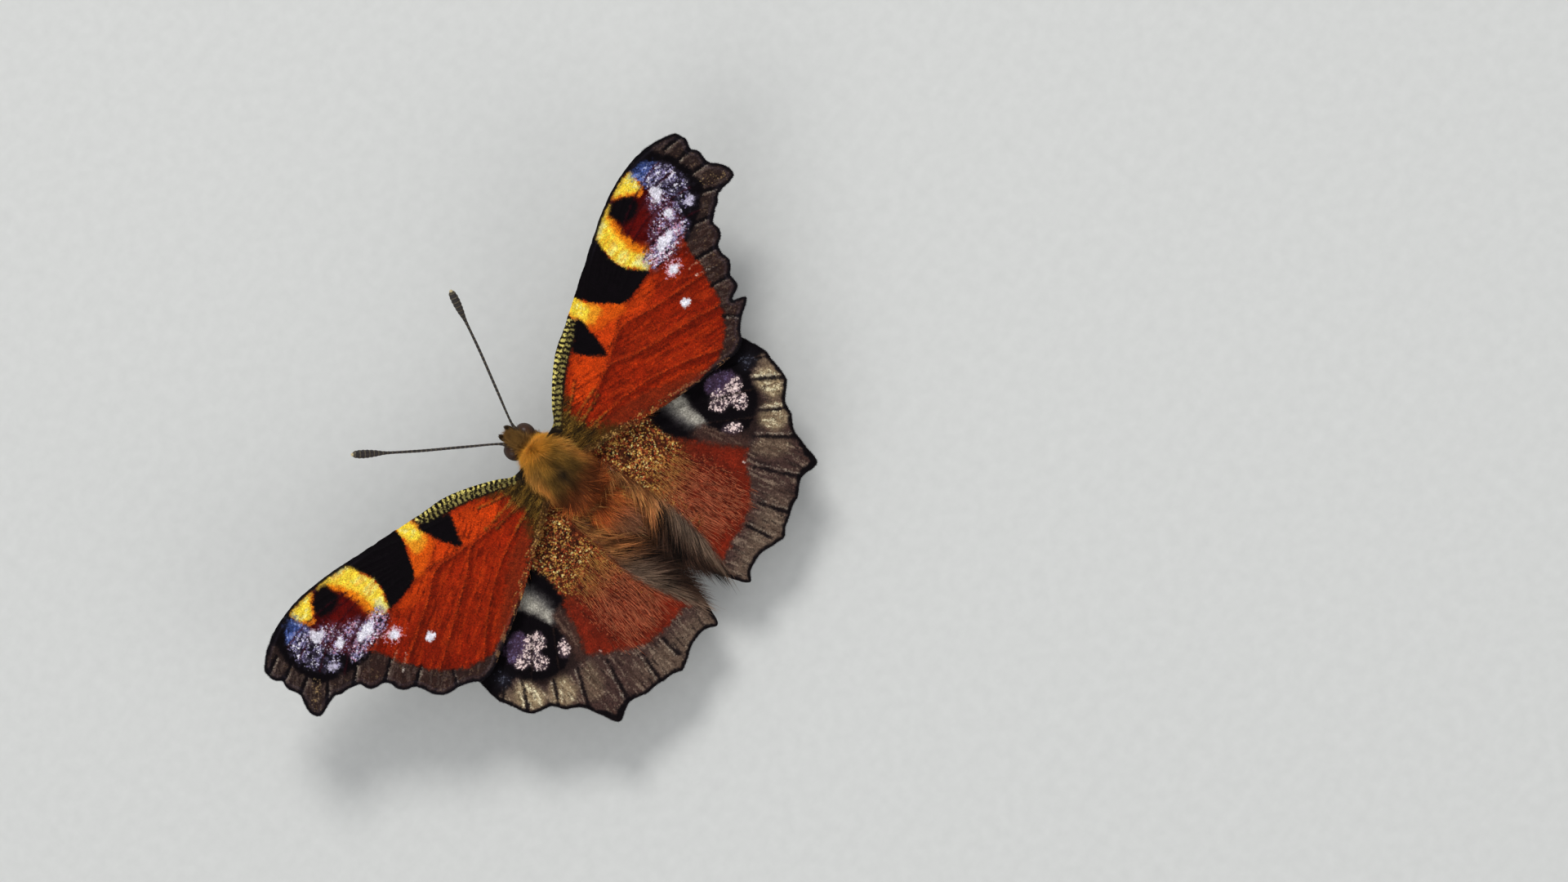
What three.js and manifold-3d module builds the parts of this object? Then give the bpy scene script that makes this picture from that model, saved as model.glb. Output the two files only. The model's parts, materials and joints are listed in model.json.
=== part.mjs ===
// Peacock butterfly with spread wings, standing on its four walking legs. Sizes are millimetres.
// Built about the wing hinge line: +X towards the animal's left, +Y towards the tail, +Z up from the wings.
import * as THREE from 'three';
import { mergeVertices } from 'three/addons/utils/BufferGeometryUtils.js';
import Module from 'manifold-3d';

const wasm = await Module();
wasm.setup();

// Driving dimensions
const touchGap = 0.3;
const pitch = THREE.MathUtils.degToRad(8);
const hingeHeight = 8.4;
const dihedral = Math.tan(THREE.MathUtils.degToRad(4));
const tipDroop = 0.004;
const droopStart = 14;
const membrane = 0.5;
const veinHeight = 0.15;
const veinHalfWidth = 0.3;
const veinRun = 2;
const pleatDepth = 0.16;
const pleatShare = 0.06;
const rowsAlongWing = [0, 0.1, 0.22, 0.36, 0.52, 0.68, 0.82, 0.92, 1];
const hindwingDrop = 1.12;
const hindwingLift = 0.5;
const liftFrom = 8.5;
const liftTo = 14;
const headYaw = THREE.MathUtils.degToRad(6.3);
const neck = new THREE.Vector3(0, -1.2, -1.6);

const thoraxSize = {
  centre: new THREE.Vector3(0, 1.5, -1.1),
  half: new THREE.Vector3(2.92, 3.9, 2.7),
  power: 2.35,
};
const thoraxGrooves = [{ at: -1.15, depth: 0.12 }, { at: 3.7, depth: 0.16 }];
const grooveWidth = 0.45;
const headSize = {
  centre: new THREE.Vector3(0, -2.95, -1.75),
  half: new THREE.Vector3(1.3, 1.15, 1.4),
  power: 2.2,
};
const eyeSize = {
  centre: new THREE.Vector3(1.02, -2.98, -1.7),
  half: new THREE.Vector3(0.78, 0.92, 1.05),
  power: 2,
};

const colours = {
  fur: 0x8a5a24,
  chitin: 0x2c2019,
  eye: 0x3a241a,
  red: 0x9c2f10,
  dark: 0x3a3029,
};

function finish(colour, roughness) {
  return new THREE.MeshStandardMaterial({ color: colour, roughness, metalness: 0 });
}

const finishes = {
  fur: finish(colours.fur, 0.95),
  chitin: finish(colours.chitin, 0.6),
  eye: finish(colours.eye, 0.3),
  forewing: finish(colours.red, 0.85),
  hindwing: finish(colours.dark, 0.85),
};

// Closed meshes from rings of points

function closedGeometry(points, triangles) {
  const geometry = new THREE.BufferGeometry();
  const coordinates = points.flatMap((p) => p.toArray());
  geometry.setAttribute('position', new THREE.Float32BufferAttribute(coordinates, 3));
  geometry.setIndex(triangles.flat());
  return geometry;
}

// Stacks rings of equal size, each running anticlockwise seen from its far side, and closes both ends.
function stackRings(rings) {
  const sides = rings[0].length;
  const points = rings.flat();
  const triangles = [];
  for (let i = 0; i < rings.length - 1; i += 1) {
    for (let k = 0; k < sides; k += 1) {
      const a = i * sides + k;
      const b = i * sides + (k + 1) % sides;
      triangles.push([a, b, b + sides], [a, b + sides, a + sides]);
    }
  }
  const last = (rings.length - 1) * sides;
  const nearEnd = points.push(centreOf(rings[0])) - 1;
  const farEnd = points.push(centreOf(rings[rings.length - 1])) - 1;
  for (let k = 0; k < sides; k += 1) {
    triangles.push([nearEnd, (k + 1) % sides, k], [farEnd, last + k, last + (k + 1) % sides]);
  }
  return closedGeometry(points, triangles);
}

function centreOf(ring) {
  const sum = new THREE.Vector3();
  ring.forEach((p) => sum.add(p));
  return sum.divideScalar(ring.length);
}

function smoothPath(points) {
  const through = points.map(([x, y, z = 0]) => new THREE.Vector3(x, y, z));
  return new THREE.CatmullRomCurve3(through, false, 'centripetal');
}

// A round limb along a smooth path. Stations are [x, y, z, radius].
function limb(stations, sides, steps) {
  const path = smoothPath(stations);
  const frames = path.computeFrenetFrames(steps, false);
  const rings = [];
  for (let i = 0; i <= steps; i += 1) {
    const t = i / steps;
    const centre = path.getPointAt(t);
    const radius = radiusAlong(stations, path.getUtoTmapping(t));
    const ring = [];
    for (let k = 0; k < sides; k += 1) {
      const angle = (2 * Math.PI * k) / sides;
      const spoke = frames.normals[i].clone().multiplyScalar(Math.cos(angle) * radius);
      spoke.addScaledVector(frames.binormals[i], Math.sin(angle) * radius);
      ring.push(centre.clone().add(spoke));
    }
    rings.push(ring);
  }
  return stackRings(rings);
}

function radiusAlong(stations, t) {
  const place = t * (stations.length - 1);
  const i = Math.min(Math.floor(place), stations.length - 2);
  return THREE.MathUtils.lerp(stations[i][3], stations[i + 1][3], place - i);
}

function mirrored(geometry) {
  const copy = geometry.clone();
  copy.scale(-1, 1, 1);
  const index = copy.getIndex();
  for (let i = 0; i < index.count; i += 3) {
    const swap = index.getX(i + 1);
    index.setX(i + 1, index.getX(i + 2));
    index.setX(i + 2, swap);
  }
  return copy;
}

// A rounded body whose section is fuller than an ellipse, grown all round by an allowance
function roundedBody({ centre, half, power }, allowance = 0, sides = 28, rows = 16) {
  const geometry = new THREE.SphereGeometry(1, sides, rows);
  const position = geometry.getAttribute('position');
  const point = new THREE.Vector3();
  for (let i = 0; i < position.count; i += 1) {
    point.fromBufferAttribute(position, i);
    const x = Math.abs(point.x / (half.x + allowance)) ** power;
    const y = Math.abs(point.y / (half.y + allowance)) ** power;
    const z = Math.abs(point.z / (half.z + allowance)) ** power;
    point.multiplyScalar((x + y + z) ** (-1 / power)).add(centre);
    position.setXYZ(i, point.x, point.y, point.z);
  }
  return welded(geometry);
}

function welded(geometry) {
  geometry.deleteAttribute('normal');
  geometry.deleteAttribute('uv');
  return mergeVertices(geometry, 1e-5);
}

// Draws the thorax in at the joints between its collar, shoulders and rear part
function drawIn(geometry, { centre }, grooves) {
  const position = geometry.getAttribute('position');
  const point = new THREE.Vector3();
  for (let i = 0; i < position.count; i += 1) {
    point.fromBufferAttribute(position, i);
    let depth = 0;
    grooves.forEach((groove) => {
      depth += groove.depth * Math.exp(-(((point.y - groove.at) / grooveWidth) ** 2));
    });
    const spoke = new THREE.Vector3(point.x - centre.x, 0, point.z - centre.z);
    point.addScaledVector(spoke.clone().normalize(), -Math.min(depth, spoke.length() / 2));
    position.setXYZ(i, point.x, point.y, point.z);
  }
  return geometry;
}

// Solids for cutting one piece clear of another

function toSolid(geometry) {
  const vertProperties = new Float32Array(geometry.getAttribute('position').array);
  const triVerts = new Uint32Array(geometry.getIndex().array);
  return new wasm.Manifold(new wasm.Mesh({ numProp: 3, vertProperties, triVerts }));
}

function largestPiece(solid) {
  const pieces = solid.decompose();
  pieces.sort((a, b) => b.volume() - a.volume());
  return pieces[0];
}

function fromSolid(solid) {
  const mesh = largestPiece(solid).getMesh();
  const geometry = new THREE.BufferGeometry();
  geometry.setAttribute('position', new THREE.Float32BufferAttribute(mesh.vertProperties, 3));
  geometry.setIndex(Array.from(mesh.triVerts));
  return geometry;
}

function cutClear(geometry, others) {
  const cut = others.reduce((solid, other) => solid.subtract(toSolid(other)), toSolid(geometry));
  return fromSolid(cut);
}

// Wings
// Each vein runs from its root on the thorax out to a tooth of the margin. Points are [x, y], or [x, y, z]
// where the vein leaves the wing's own surface. It stands up as a ridge from rise outwards. A tooth has its
// corner towards the costa, its tip, and its rear corner. A notch is the margin's inward point between this
// vein and the next, where the membrane folds down.

const forewingVeins = [
  {
    name: 'costa',
    root: -1.3,
    path: [[2.9, -1.5], [4, -2.47], [6, -3.96], [8, -5.13]],
    tip: [10.2, -5.85],
    notch: [11.6, -6.35],
  },
  {
    name: 'subcosta',
    root: -0.95,
    rise: 3,
    path: [[4.3, -1.6], [6, -2.95], [8, -4.15], [10, -5.1]],
    tooth: [[12.6, -6.7], [13.4, -7.0], [14.2, -7.27]],
    notch: [16.3, -8.0],
  },
  {
    name: 'R1',
    root: -0.7,
    rise: 3,
    path: [[6, -2.1], [9, -3.7], [12, -5.2], [16, -7.4]],
    tooth: [[18.5, -8.78], [19.5, -9.12], [20.4, -9.38]],
    notch: [21.6, -9.68],
  },
  {
    name: 'R2',
    root: -0.5,
    rise: 14,
    path: [[6, -1.75], [9, -3.15], [12, -4.55], [16, -6.5], [19.5, -8.3]],
    tooth: [[22.8, -9.9], [23.8, -10.0], [24.8, -10.03]],
    notch: [26.3, -9.92],
  },
  {
    name: 'R3',
    root: -0.3,
    rise: 15,
    path: [[6, -1.45], [9, -2.7], [12, -4], [15, -5.35], [19, -7.25], [23, -8.75]],
    tooth: [[27.5, -9.6], [28.3, -9.28], [29, -8.95]],
    notch: [29.72, -8.4],
  },
  {
    name: 'R4',
    root: -0.15,
    rise: 15,
    path: [[6, -1.2], [9, -2.35], [12, -3.6], [15, -4.9], [19, -6.6], [23, -7.85], [26.5, -8.1]],
    tooth: [[29.84, -7.85], [29.88, -7.4], [29.7, -7]],
    notch: [29.47, -6.65],
  },
  {
    name: 'R5',
    root: 0,
    rise: 15,
    path: [[6, -0.95], [9, -2], [12, -3.2], [15, -4.5], [19, -6.05], [23, -6.95], [26.5, -6.75]],
    tooth: [[29.64, -6.15], [29.72, -5.7], [29.6, -5.25]],
    notch: [29.5, -4.65],
  },
  {
    name: 'M1',
    root: 0.15,
    rise: 15,
    path: [
      [6, -0.72], [9, -1.65], [12, -2.8], [15, -4.1],
      [19, -5.45], [22.9, -5.78], [25.6, -5.05], [28, -3.95],
    ],
    tooth: [[30, -3.7], [30.2, -2.85], [29.85, -2.15]],
    notch: [28.35, -2.25],
  },
  {
    name: 'M2',
    root: 0.3,
    rise: 15,
    path: [[6, -0.5], [9, -1.3], [12, -2.35], [15, -3.55], [18.3, -4.35], [21.9, -4.1], [24.5, -3.25]],
    tooth: [[27.65, -2.2], [27.2, -1.85], [26.6, -1.68]],
    notch: [26, -1.35],
  },
  {
    name: 'M3',
    root: 0.45,
    rise: 13,
    path: [[6, -0.25], [9, -0.98], [12, -1.8], [15, -2.9], [18, -3], [20, -2.57], [22, -1.93]],
    tooth: [[25.5, -1.05], [25.4, -0.3], [24.95, 0.2]],
    notch: [24.2, 0.48],
  },
  {
    name: 'CuA1',
    root: 0.6,
    rise: 9.5,
    path: [[6, -0.02], [9, -0.72], [11.4, -1.25], [13.3, -1.83], [16, -0.76], [20, 0.63]],
    tooth: [[23.85, 1.1], [23.8, 1.95], [23.4, 2.5]],
    notch: [22.8, 2.85],
  },
  {
    name: 'CuA2',
    root: 0.8,
    rise: 3,
    path: [[6, 0.22], [8.4, -0.35], [10, -0.62], [11.95, 0.45], [14, 1.35], [18.1, 2.97]],
    tooth: [[22.5, 3.6], [22.25, 4.65], [21.6, 5.5]],
    notch: [20.3, 6.05],
  },
  {
    name: '2A',
    root: 1.35,
    rise: 3,
    path: [[6, 1.6], [10, 2.5], [14, 4.3], [17, 6.2]],
    tooth: [[19.3, 6.7], [18.85, 7.2], [18.1, 7.4]],
    notch: [17.6, 7.45],
  },
  {
    name: 'inner margin',
    root: 2.1,
    path: [[4.4, 3.1], [8, 4.5], [12, 6.0]],
    tip: [16.4, 7.25],
  },
];

const hindwingVeins = [
  {
    name: 'costa',
    root: 1.2,
    path: [[4.2, -0.1], [7, -1], [10.5, -0.7], [14, 1.2]],
    tip: [17.2, 4.2],
    notch: [18.3, 5.6],
  },
  {
    name: 'Sc+R1',
    root: 1.6,
    rise: 4,
    path: [[6, 1], [10, 1.5], [14, 3.4], [17, 5.6]],
    tooth: [[18.85, 6.55], [19.1, 7.4], [19.2, 8]],
    notch: [19.3, 8.55],
  },
  {
    name: 'Rs',
    root: 2,
    rise: 4,
    path: [[6, 2.3], [10, 3.8], [13.5, 5.9], [16.5, 8]],
    tooth: [[19.35, 9.05], [19.35, 9.6], [19.15, 10.2]],
    notch: [18.95, 11.05],
  },
  {
    name: 'M1',
    root: 2.4,
    rise: 4,
    path: [[6, 3.4], [9, 5.2], [12, 7.5], [15, 9.8]],
    tooth: [[18.75, 11.8], [18.4, 12.5], [17.85, 12.9]],
    notch: [17.05, 13.35],
  },
  {
    name: 'M2',
    root: 2.75,
    rise: 4,
    path: [[6, 4.4], [9, 7], [12, 10], [14.3, 12.4]],
    tooth: [[16.6, 13.95], [16.35, 14.6], [15.85, 15.05]],
    notch: [15.3, 15.75],
  },
  {
    name: 'M3',
    root: 3.1,
    rise: 4,
    path: [[5.5, 5.2], [8, 8], [10.3, 11], [12.1, 13.6], [13.6, 16.6]],
    tooth: [[14.85, 17.3], [14.3, 19.05], [13.4, 18.9]],
    notch: [12.4, 18.7],
  },
  {
    name: 'CuA1',
    root: 3.45,
    rise: 4,
    path: [[5.1, 6], [7.2, 9.5], [8.8, 13], [10, 16.2]],
    tooth: [[11.6, 19.05], [10.8, 19.5], [10, 19.6]],
    notch: [9.1, 19.95],
  },
  {
    name: 'CuA2',
    root: 3.8,
    rise: 4,
    path: [[4.6, 6.8], [6.1, 11], [6.9, 15]],
    tooth: [[8, 20.3], [7.4, 20.7], [6.6, 20.5]],
    notch: [4.9, 19.95],
  },
  {
    name: '2A',
    root: 4.1,
    rise: 3,
    path: [[3.3, 6, 0.15], [3.65, 9, 0.3], [3.75, 12, 0.3], [3.3, 15.5, 0.25], [2.85, 18.3, 0.1]],
    tooth: [[3.2, 20.15], [2.4, 20.75], [2, 20.3]],
    notch: [1.85, 19.9],
  },
  {
    name: 'inner margin',
    root: 4.5,
    path: [
      [2.45, 6, -0.9], [2.25, 8, -1], [1.5, 9.8, -1.05],
      [0.85, 12, -1.05], [0.62, 15, -0.95], [1.0, 17.5, -0.5],
    ],
    tip: [1.65, 19.4],
  },
];

// The right forewing is torn a little where CuA2 meets its margin, which leaves a spike behind the tear
const tornMargin = {
  name: 'CuA2',
  tooth: [[22.45, 4.0], [21.1, 4.4], [22.1, 5.2]],
  notch: [20.5, 5.95],
};

function forewingSurface(x) {
  return x * dihedral - tipDroop * Math.max(x - droopStart, 0) ** 2;
}

function hindwingSurface(x, y) {
  const lift = hindwingLift * THREE.MathUtils.smoothstep(y, liftFrom, liftTo);
  return forewingSurface(x) - hindwingDrop + lift;
}

// How far out a wing starts at a given place on the thorax
function rootReach(y, z) {
  const { centre, half, power } = thoraxSize;
  const along = Math.abs((y - centre.y) / half.y) ** power;
  const up = Math.abs((z - centre.z) / half.z) ** power;
  return half.x * (1 - along - up) ** (1 / power) + touchGap;
}

function veinRows(vein, surface) {
  const rootLevel = surface(rootReach(vein.root, surface(0, vein.root)), vein.root);
  const end = vein.tooth ? vein.tooth[1] : vein.tip;
  const path = smoothPath([[rootReach(vein.root, rootLevel), vein.root], ...vein.path, end]);
  return rowsAlongWing.map((t) => path.getPointAt(t));
}

// Columns of the wing, from the costa to the inner margin: each vein's crest between its two feet, and a
// fold halfway to the next vein. The third coordinate is the rise above the wing's surface.
function wingColumns(veins, surface) {
  const crests = veins.map((vein) => veinRows(vein, surface));
  const folds = veins.slice(0, -1).map((vein, j) => {
    const pleatFrom = Math.max(vein.rise ?? 0, veins[j + 1].rise ?? 0);
    return foldRows(crests[j], crests[j + 1], vein.notch, pleatFrom);
  });
  const columns = [];
  veins.forEach((vein, j) => {
    if (vein.tooth) columns.push(footRows(crests[j], folds[j - 1], vein.tooth[0]));
    columns.push({ points: crests[j], rise: vein.rise });
    if (vein.tooth) columns.push(footRows(crests[j], folds[j], vein.tooth[2]));
    if (j < folds.length) columns.push({ points: folds[j] });
  });
  return columns;
}

function foldRows(crest, nextCrest, notch, pleatFrom) {
  const end = new THREE.Vector3(notch[0], notch[1], 0);
  const shift = end.sub(crest.at(-1).clone().lerp(nextCrest.at(-1), 0.5));
  return crest.map((p, i) => {
    const middle = p.clone().lerp(nextCrest[i], 0.5).addScaledVector(shift, rowsAlongWing[i] ** 4);
    const depth = Math.min(pleatDepth, pleatShare * p.distanceTo(nextCrest[i]));
    middle.z -= depth * THREE.MathUtils.smoothstep(middle.x, pleatFrom, pleatFrom + veinRun);
    return middle;
  });
}

function footRows(crest, fold, corner) {
  const points = crest.map((p, i) => {
    const share = Math.min(0.45, veinHalfWidth / p.distanceTo(fold[i]));
    return p.clone().lerp(fold[i], share);
  });
  points[points.length - 1].set(corner[0], corner[1], 0);
  return { points };
}

function wing(veins, surface) {
  const columns = wingColumns(veins, surface);
  const rows = rowsAlongWing.length;
  const upper = [];
  const lower = [];
  columns.forEach(({ points, rise }) => {
    points.forEach((p) => {
      const raised = rise === undefined ? 0 : THREE.MathUtils.smoothstep(p.x, rise, rise + veinRun);
      const swell = veinHeight * raised;
      const level = surface(p.x, p.y) + p.z;
      upper.push(new THREE.Vector3(p.x, p.y, level + membrane / 2 + swell));
      lower.push(new THREE.Vector3(p.x, p.y, level - membrane / 2 - swell));
    });
  });
  return sheet(upper, lower, columns.length, rows);
}

// A closed sheet from two like grids of points, split into triangles alike on both faces
function sheet(upper, lower, columnCount, rowCount) {
  const under = upper.length;
  const triangles = [];
  const at = (column, row) => column * rowCount + row;
  for (let c = 0; c < columnCount - 1; c += 1) {
    for (let r = 0; r < rowCount - 1; r += 1) {
      const [p, q, s, t] = [at(c, r), at(c, r + 1), at(c + 1, r + 1), at(c + 1, r)];
      triangles.push([p, q, s], [p + under, s + under, q + under]);
      triangles.push([p, s, t], [p + under, t + under, s + under]);
    }
  }
  const rim = [];
  for (let r = 0; r < rowCount - 1; r += 1) rim.push(at(0, r));
  for (let c = 0; c < columnCount - 1; c += 1) rim.push(at(c, rowCount - 1));
  for (let r = rowCount - 1; r > 0; r -= 1) rim.push(at(columnCount - 1, r));
  for (let c = columnCount - 1; c > 0; c -= 1) rim.push(at(c, 0));
  rim.forEach((a, i) => {
    const b = rim[(i + 1) % rim.length];
    triangles.push([b, a, a + under], [b, a + under, b + under]);
  });
  return closedGeometry([...upper, ...lower], triangles);
}

// Abdomen: rings along a drooping line, drawn in at the joints between its segments
const abdomenLine = [
  [0, 4.2, -2.0, 1.35], [0, 6, -2.75, 1.75], [0, 8.5, -3.5, 1.9], [0, 11, -4.2, 1.75],
  [0, 13.2, -4.75, 1.25], [0, 14.8, -5.1, 0.6], [0, 15.3, -5.2, 0.3],
];
const abdomenSides = 20;
const abdomenSegments = 8;
const ringsPerSegment = 3;
const segmentWaist = 0.05;

function abdomen() {
  const steps = abdomenSegments * ringsPerSegment;
  const path = smoothPath(abdomenLine);
  const rings = [];
  for (let i = 0; i <= steps; i += 1) {
    const t = i / steps;
    const centre = path.getPointAt(t);
    const along = path.getTangentAt(t);
    const up = new THREE.Vector3(0, -along.z, along.y);
    const drawnIn = i % ringsPerSegment === 0 ? 1 - segmentWaist : 1;
    const radius = radiusAlong(abdomenLine, path.getUtoTmapping(t)) * drawnIn;
    const ring = [];
    for (let k = 0; k < abdomenSides; k += 1) {
      const angle = (2 * Math.PI * k) / abdomenSides;
      const p = centre.clone().addScaledVector(up, Math.cos(angle) * radius);
      p.x += Math.sin(angle) * radius;
      ring.push(p);
    }
    rings.push(ring);
  }
  return stackRings(rings);
}

// Head parts, in the head's own turned group
const antennaStations = [
  [0.72, -3.55, -1.0, 0.25], [1.02, -4.3, -0.55, 0.25], [2.9, -6.9, 0.85, 0.25], [5.1, -9.9, 2.3, 0.25],
  [6.75, -12.3, 3.55, 0.26], [7.25, -13.05, 4.0, 0.34], [7.8, -13.85, 4.5, 0.37], [8.2, -14.45, 4.85, 0.3],
  [8.38, -14.7, 5.0, 0.14],
];
const palpStations = [
  [0.42, -3.1, -2.9, 0.3], [0.46, -3.8, -2.85, 0.36], [0.47, -4.3, -2.25, 0.34],
  [0.46, -4.5, -1.6, 0.25], [0.45, -4.45, -1.1, 0.12],
];
const coilTurns = 1.6;
const coilInner = 0.34;
const coilOuter = 1.2;
const coilCentre = [0, -3.55, -4.45];
const coilStations = 14;
const coilThickness = [0.25, 0.2];

function proboscis() {
  const stations = [];
  for (let i = 0; i <= coilStations; i += 1) {
    const t = i / coilStations;
    const angle = Math.PI / 2 + 2 * Math.PI * coilTurns * t;
    const radius = THREE.MathUtils.lerp(coilOuter, coilInner, t);
    const y = coilCentre[1] - Math.cos(angle) * radius;
    const z = coilCentre[2] + Math.sin(angle) * radius;
    stations.push([0, y, z, THREE.MathUtils.lerp(...coilThickness, t)]);
  }
  return limb(stations, 8, 26);
}

// Walking legs, placed on the floor: hip, knee, ankle and toe as [x, y, z, radius]
const walkingLegs = {
  mid: [
    [1.35, 0.4, 5.9, 0.5], [2.6, -0.1, 5.1, 0.42], [5.3, -1.0, 5.9, 0.36], [5.9, -1.3, 5.5, 0.3],
    [7.7, -2.2, 1.0, 0.27], [8.1, -2.5, 0.3, 0.28], [9.2, -3.4, 0.2, 0.27], [10.2, -4.3, 0.2, 0.22],
  ],
  hind: [
    [1.3, 2.9, 5.6, 0.5], [2.4, 3.7, 4.8, 0.42], [4.7, 5.5, 5.2, 0.36], [5.1, 6.0, 4.9, 0.3],
    [6.0, 9.2, 1.0, 0.27], [6.2, 9.8, 0.3, 0.28], [6.8, 11.2, 0.2, 0.27], [7.5, 12.6, 0.2, 0.22],
  ],
};

// The short fore legs are folded against the chest
const foldedLeg = [
  [0.9, -1.1, -3.0, 0.36], [1.15, -1.9, -3.75, 0.34], [1.3, -2.5, -4.3, 0.3], [1.2, -1.8, -4.75, 0.27],
  [1.05, -0.6, -4.9, 0.2],
];

function walkingLeg(stations) {
  const geometry = limb(stations, 8, 24);
  const position = geometry.getAttribute('position');
  for (let i = 0; i < position.count; i += 1) {
    position.setZ(i, Math.max(position.getZ(i), 0));
  }
  return geometry;
}

// The scene graph

const group = new THREE.Group();
const body = new THREE.Group();
body.rotation.x = -pitch;
body.position.z = hingeHeight;
group.add(body);
const head = new THREE.Group();
head.position.copy(neck);
head.rotation.z = headYaw;
body.add(head);

function addMesh(parent, name, geometry, material) {
  const mesh = new THREE.Mesh(geometry, material);
  mesh.name = name;
  parent.add(mesh);
  return mesh;
}

function addPair(parent, name, geometry, material) {
  addMesh(parent, `${name}_left`, geometry, material);
  addMesh(parent, `${name}_right`, mirrored(geometry), material);
}

// A body part's geometry seen from a group that is turned or moved within the body
function seenFrom(holder, geometry) {
  holder.updateMatrix();
  return geometry.clone().applyMatrix4(holder.matrix.clone().invert());
}

function seenFromFloor(geometry) {
  body.updateMatrix();
  return geometry.clone().applyMatrix4(body.matrix);
}

const thorax = drawIn(roundedBody(thoraxSize, 0, 30, 24), thoraxSize, thoraxGrooves);
const thoraxClearance = roundedBody(thoraxSize, touchGap);
addMesh(body, 'thorax', thorax, finishes.fur);
addMesh(body, 'abdomen', cutClear(abdomen(), [thoraxClearance]), finishes.fur);
addMesh(body, 'forewing_left', wing(forewingVeins, forewingSurface), finishes.forewing);
const tornVeins = forewingVeins.map((vein) => {
  const torn = vein.name === tornMargin.name ? tornMargin : {};
  return { ...vein, ...torn };
});
addMesh(body, 'forewing_right', mirrored(wing(tornVeins, forewingSurface)), finishes.forewing);
addPair(body, 'hindwing', wing(hindwingVeins, hindwingSurface), finishes.hindwing);

const aboutNeck = new THREE.Matrix4().makeTranslation(-neck.x, -neck.y, -neck.z);
const eye = roundedBody(eyeSize, 0, 18, 12).applyMatrix4(aboutNeck);
const eyeClearance = roundedBody(eyeSize, touchGap, 18, 12).applyMatrix4(aboutNeck);
const headClearance = roundedBody(headSize, touchGap).applyMatrix4(aboutNeck);
const headFromThorax = seenFrom(head, thoraxClearance);
const headBody = roundedBody(headSize).applyMatrix4(aboutNeck);
const aroundHead = [eyeClearance, mirrored(eyeClearance), headFromThorax];
addMesh(head, 'head', cutClear(headBody, aroundHead), finishes.fur);
addMesh(head, 'eye_left', cutClear(eye, [headFromThorax]), finishes.eye);
addMesh(head, 'eye_right', cutClear(mirrored(eye), [headFromThorax]), finishes.eye);
const antenna = limb(antennaStations, 8, 20).applyMatrix4(aboutNeck);
addPair(head, 'antenna', cutClear(antenna, [headClearance, eyeClearance]), finishes.chitin);
const palp = limb(palpStations, 8, 10).applyMatrix4(aboutNeck);
addPair(head, 'palp', cutClear(palp, [headClearance]), finishes.fur);
const coil = proboscis().applyMatrix4(aboutNeck);
addMesh(head, 'proboscis', cutClear(coil, [headClearance]), finishes.chitin);

const floorClearance = seenFromFloor(thoraxClearance);
for (const [name, stations] of Object.entries(walkingLegs)) {
  addPair(group, `leg_${name}`, cutClear(walkingLeg(stations), [floorClearance]), finishes.chitin);
}
addPair(body, 'leg_fore', cutClear(limb(foldedLeg, 8, 12), [thoraxClearance]), finishes.chitin);

// The origin is on the floor, under the middle of the whole animal
const outline = new THREE.Box3().setFromObject(group);
const middle = outline.getCenter(new THREE.Vector3());
group.position.set(-middle.x, -middle.y, -outline.min.z);

export default group;
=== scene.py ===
"""Peacock butterfly with spread wings, standing on its walking legs, life size."""

import json
import math
from collections import namedtuple

import bpy
import numpy as np
from bpy.props import FloatProperty, FloatVectorProperty, IntProperty, PointerProperty
from mathutils import Matrix, Vector, geometry
from mathutils.bvhtree import BVHTree
from mathutils.kdtree import KDTree

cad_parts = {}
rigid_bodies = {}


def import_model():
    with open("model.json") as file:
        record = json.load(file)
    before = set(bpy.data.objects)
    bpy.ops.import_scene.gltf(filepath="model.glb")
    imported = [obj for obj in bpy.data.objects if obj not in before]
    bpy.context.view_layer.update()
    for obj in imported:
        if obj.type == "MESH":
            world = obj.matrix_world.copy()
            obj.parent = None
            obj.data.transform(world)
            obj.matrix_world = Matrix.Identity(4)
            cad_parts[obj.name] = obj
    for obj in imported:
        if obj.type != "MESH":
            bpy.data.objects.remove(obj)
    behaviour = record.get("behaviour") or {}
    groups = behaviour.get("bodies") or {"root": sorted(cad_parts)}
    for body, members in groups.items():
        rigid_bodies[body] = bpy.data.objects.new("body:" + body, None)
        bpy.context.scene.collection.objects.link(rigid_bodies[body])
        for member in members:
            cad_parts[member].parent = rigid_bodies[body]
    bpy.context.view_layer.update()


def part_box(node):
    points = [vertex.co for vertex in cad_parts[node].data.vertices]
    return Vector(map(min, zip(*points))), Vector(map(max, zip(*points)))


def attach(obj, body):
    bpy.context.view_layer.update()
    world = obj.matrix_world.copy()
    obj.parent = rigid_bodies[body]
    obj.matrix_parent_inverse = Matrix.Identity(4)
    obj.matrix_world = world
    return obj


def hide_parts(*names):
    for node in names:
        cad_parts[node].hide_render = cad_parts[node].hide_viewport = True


bl_info = {
    "name": "Peacock Butterfly",
    "version": (1, 0, 0),
    "blender": (4, 5, 0),
    "location": "View3D > Sidebar > Butterfly",
    "description": "Builds a life-size peacock butterfly, scales and fur included",
    "category": "Add Mesh",
}

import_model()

# Shapes are worked out in millimetres of the animal's own frame: +X towards its left, +Y towards its tail
# and +Z up from the wings. It is pitched about the line of the wing hinges.
MM = 0.001
PITCH = math.radians(8)
HINGE_HEIGHT = 8.4
HEAD_YAW = math.radians(6.3)
NECK = np.array([0, -1.2, -1.6])

THORAX = {"centre": (0, 1.5, -1.1), "half": (2.92, 3.9, 2.7), "power": 2.35}
HEAD = {"centre": (0, -2.95, -1.75), "half": (1.3, 1.15, 1.4), "power": 2.2}
EYE = {"centre": (1.02, -2.98, -1.7), "half": (0.78, 0.92, 1.05), "power": 2}

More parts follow.
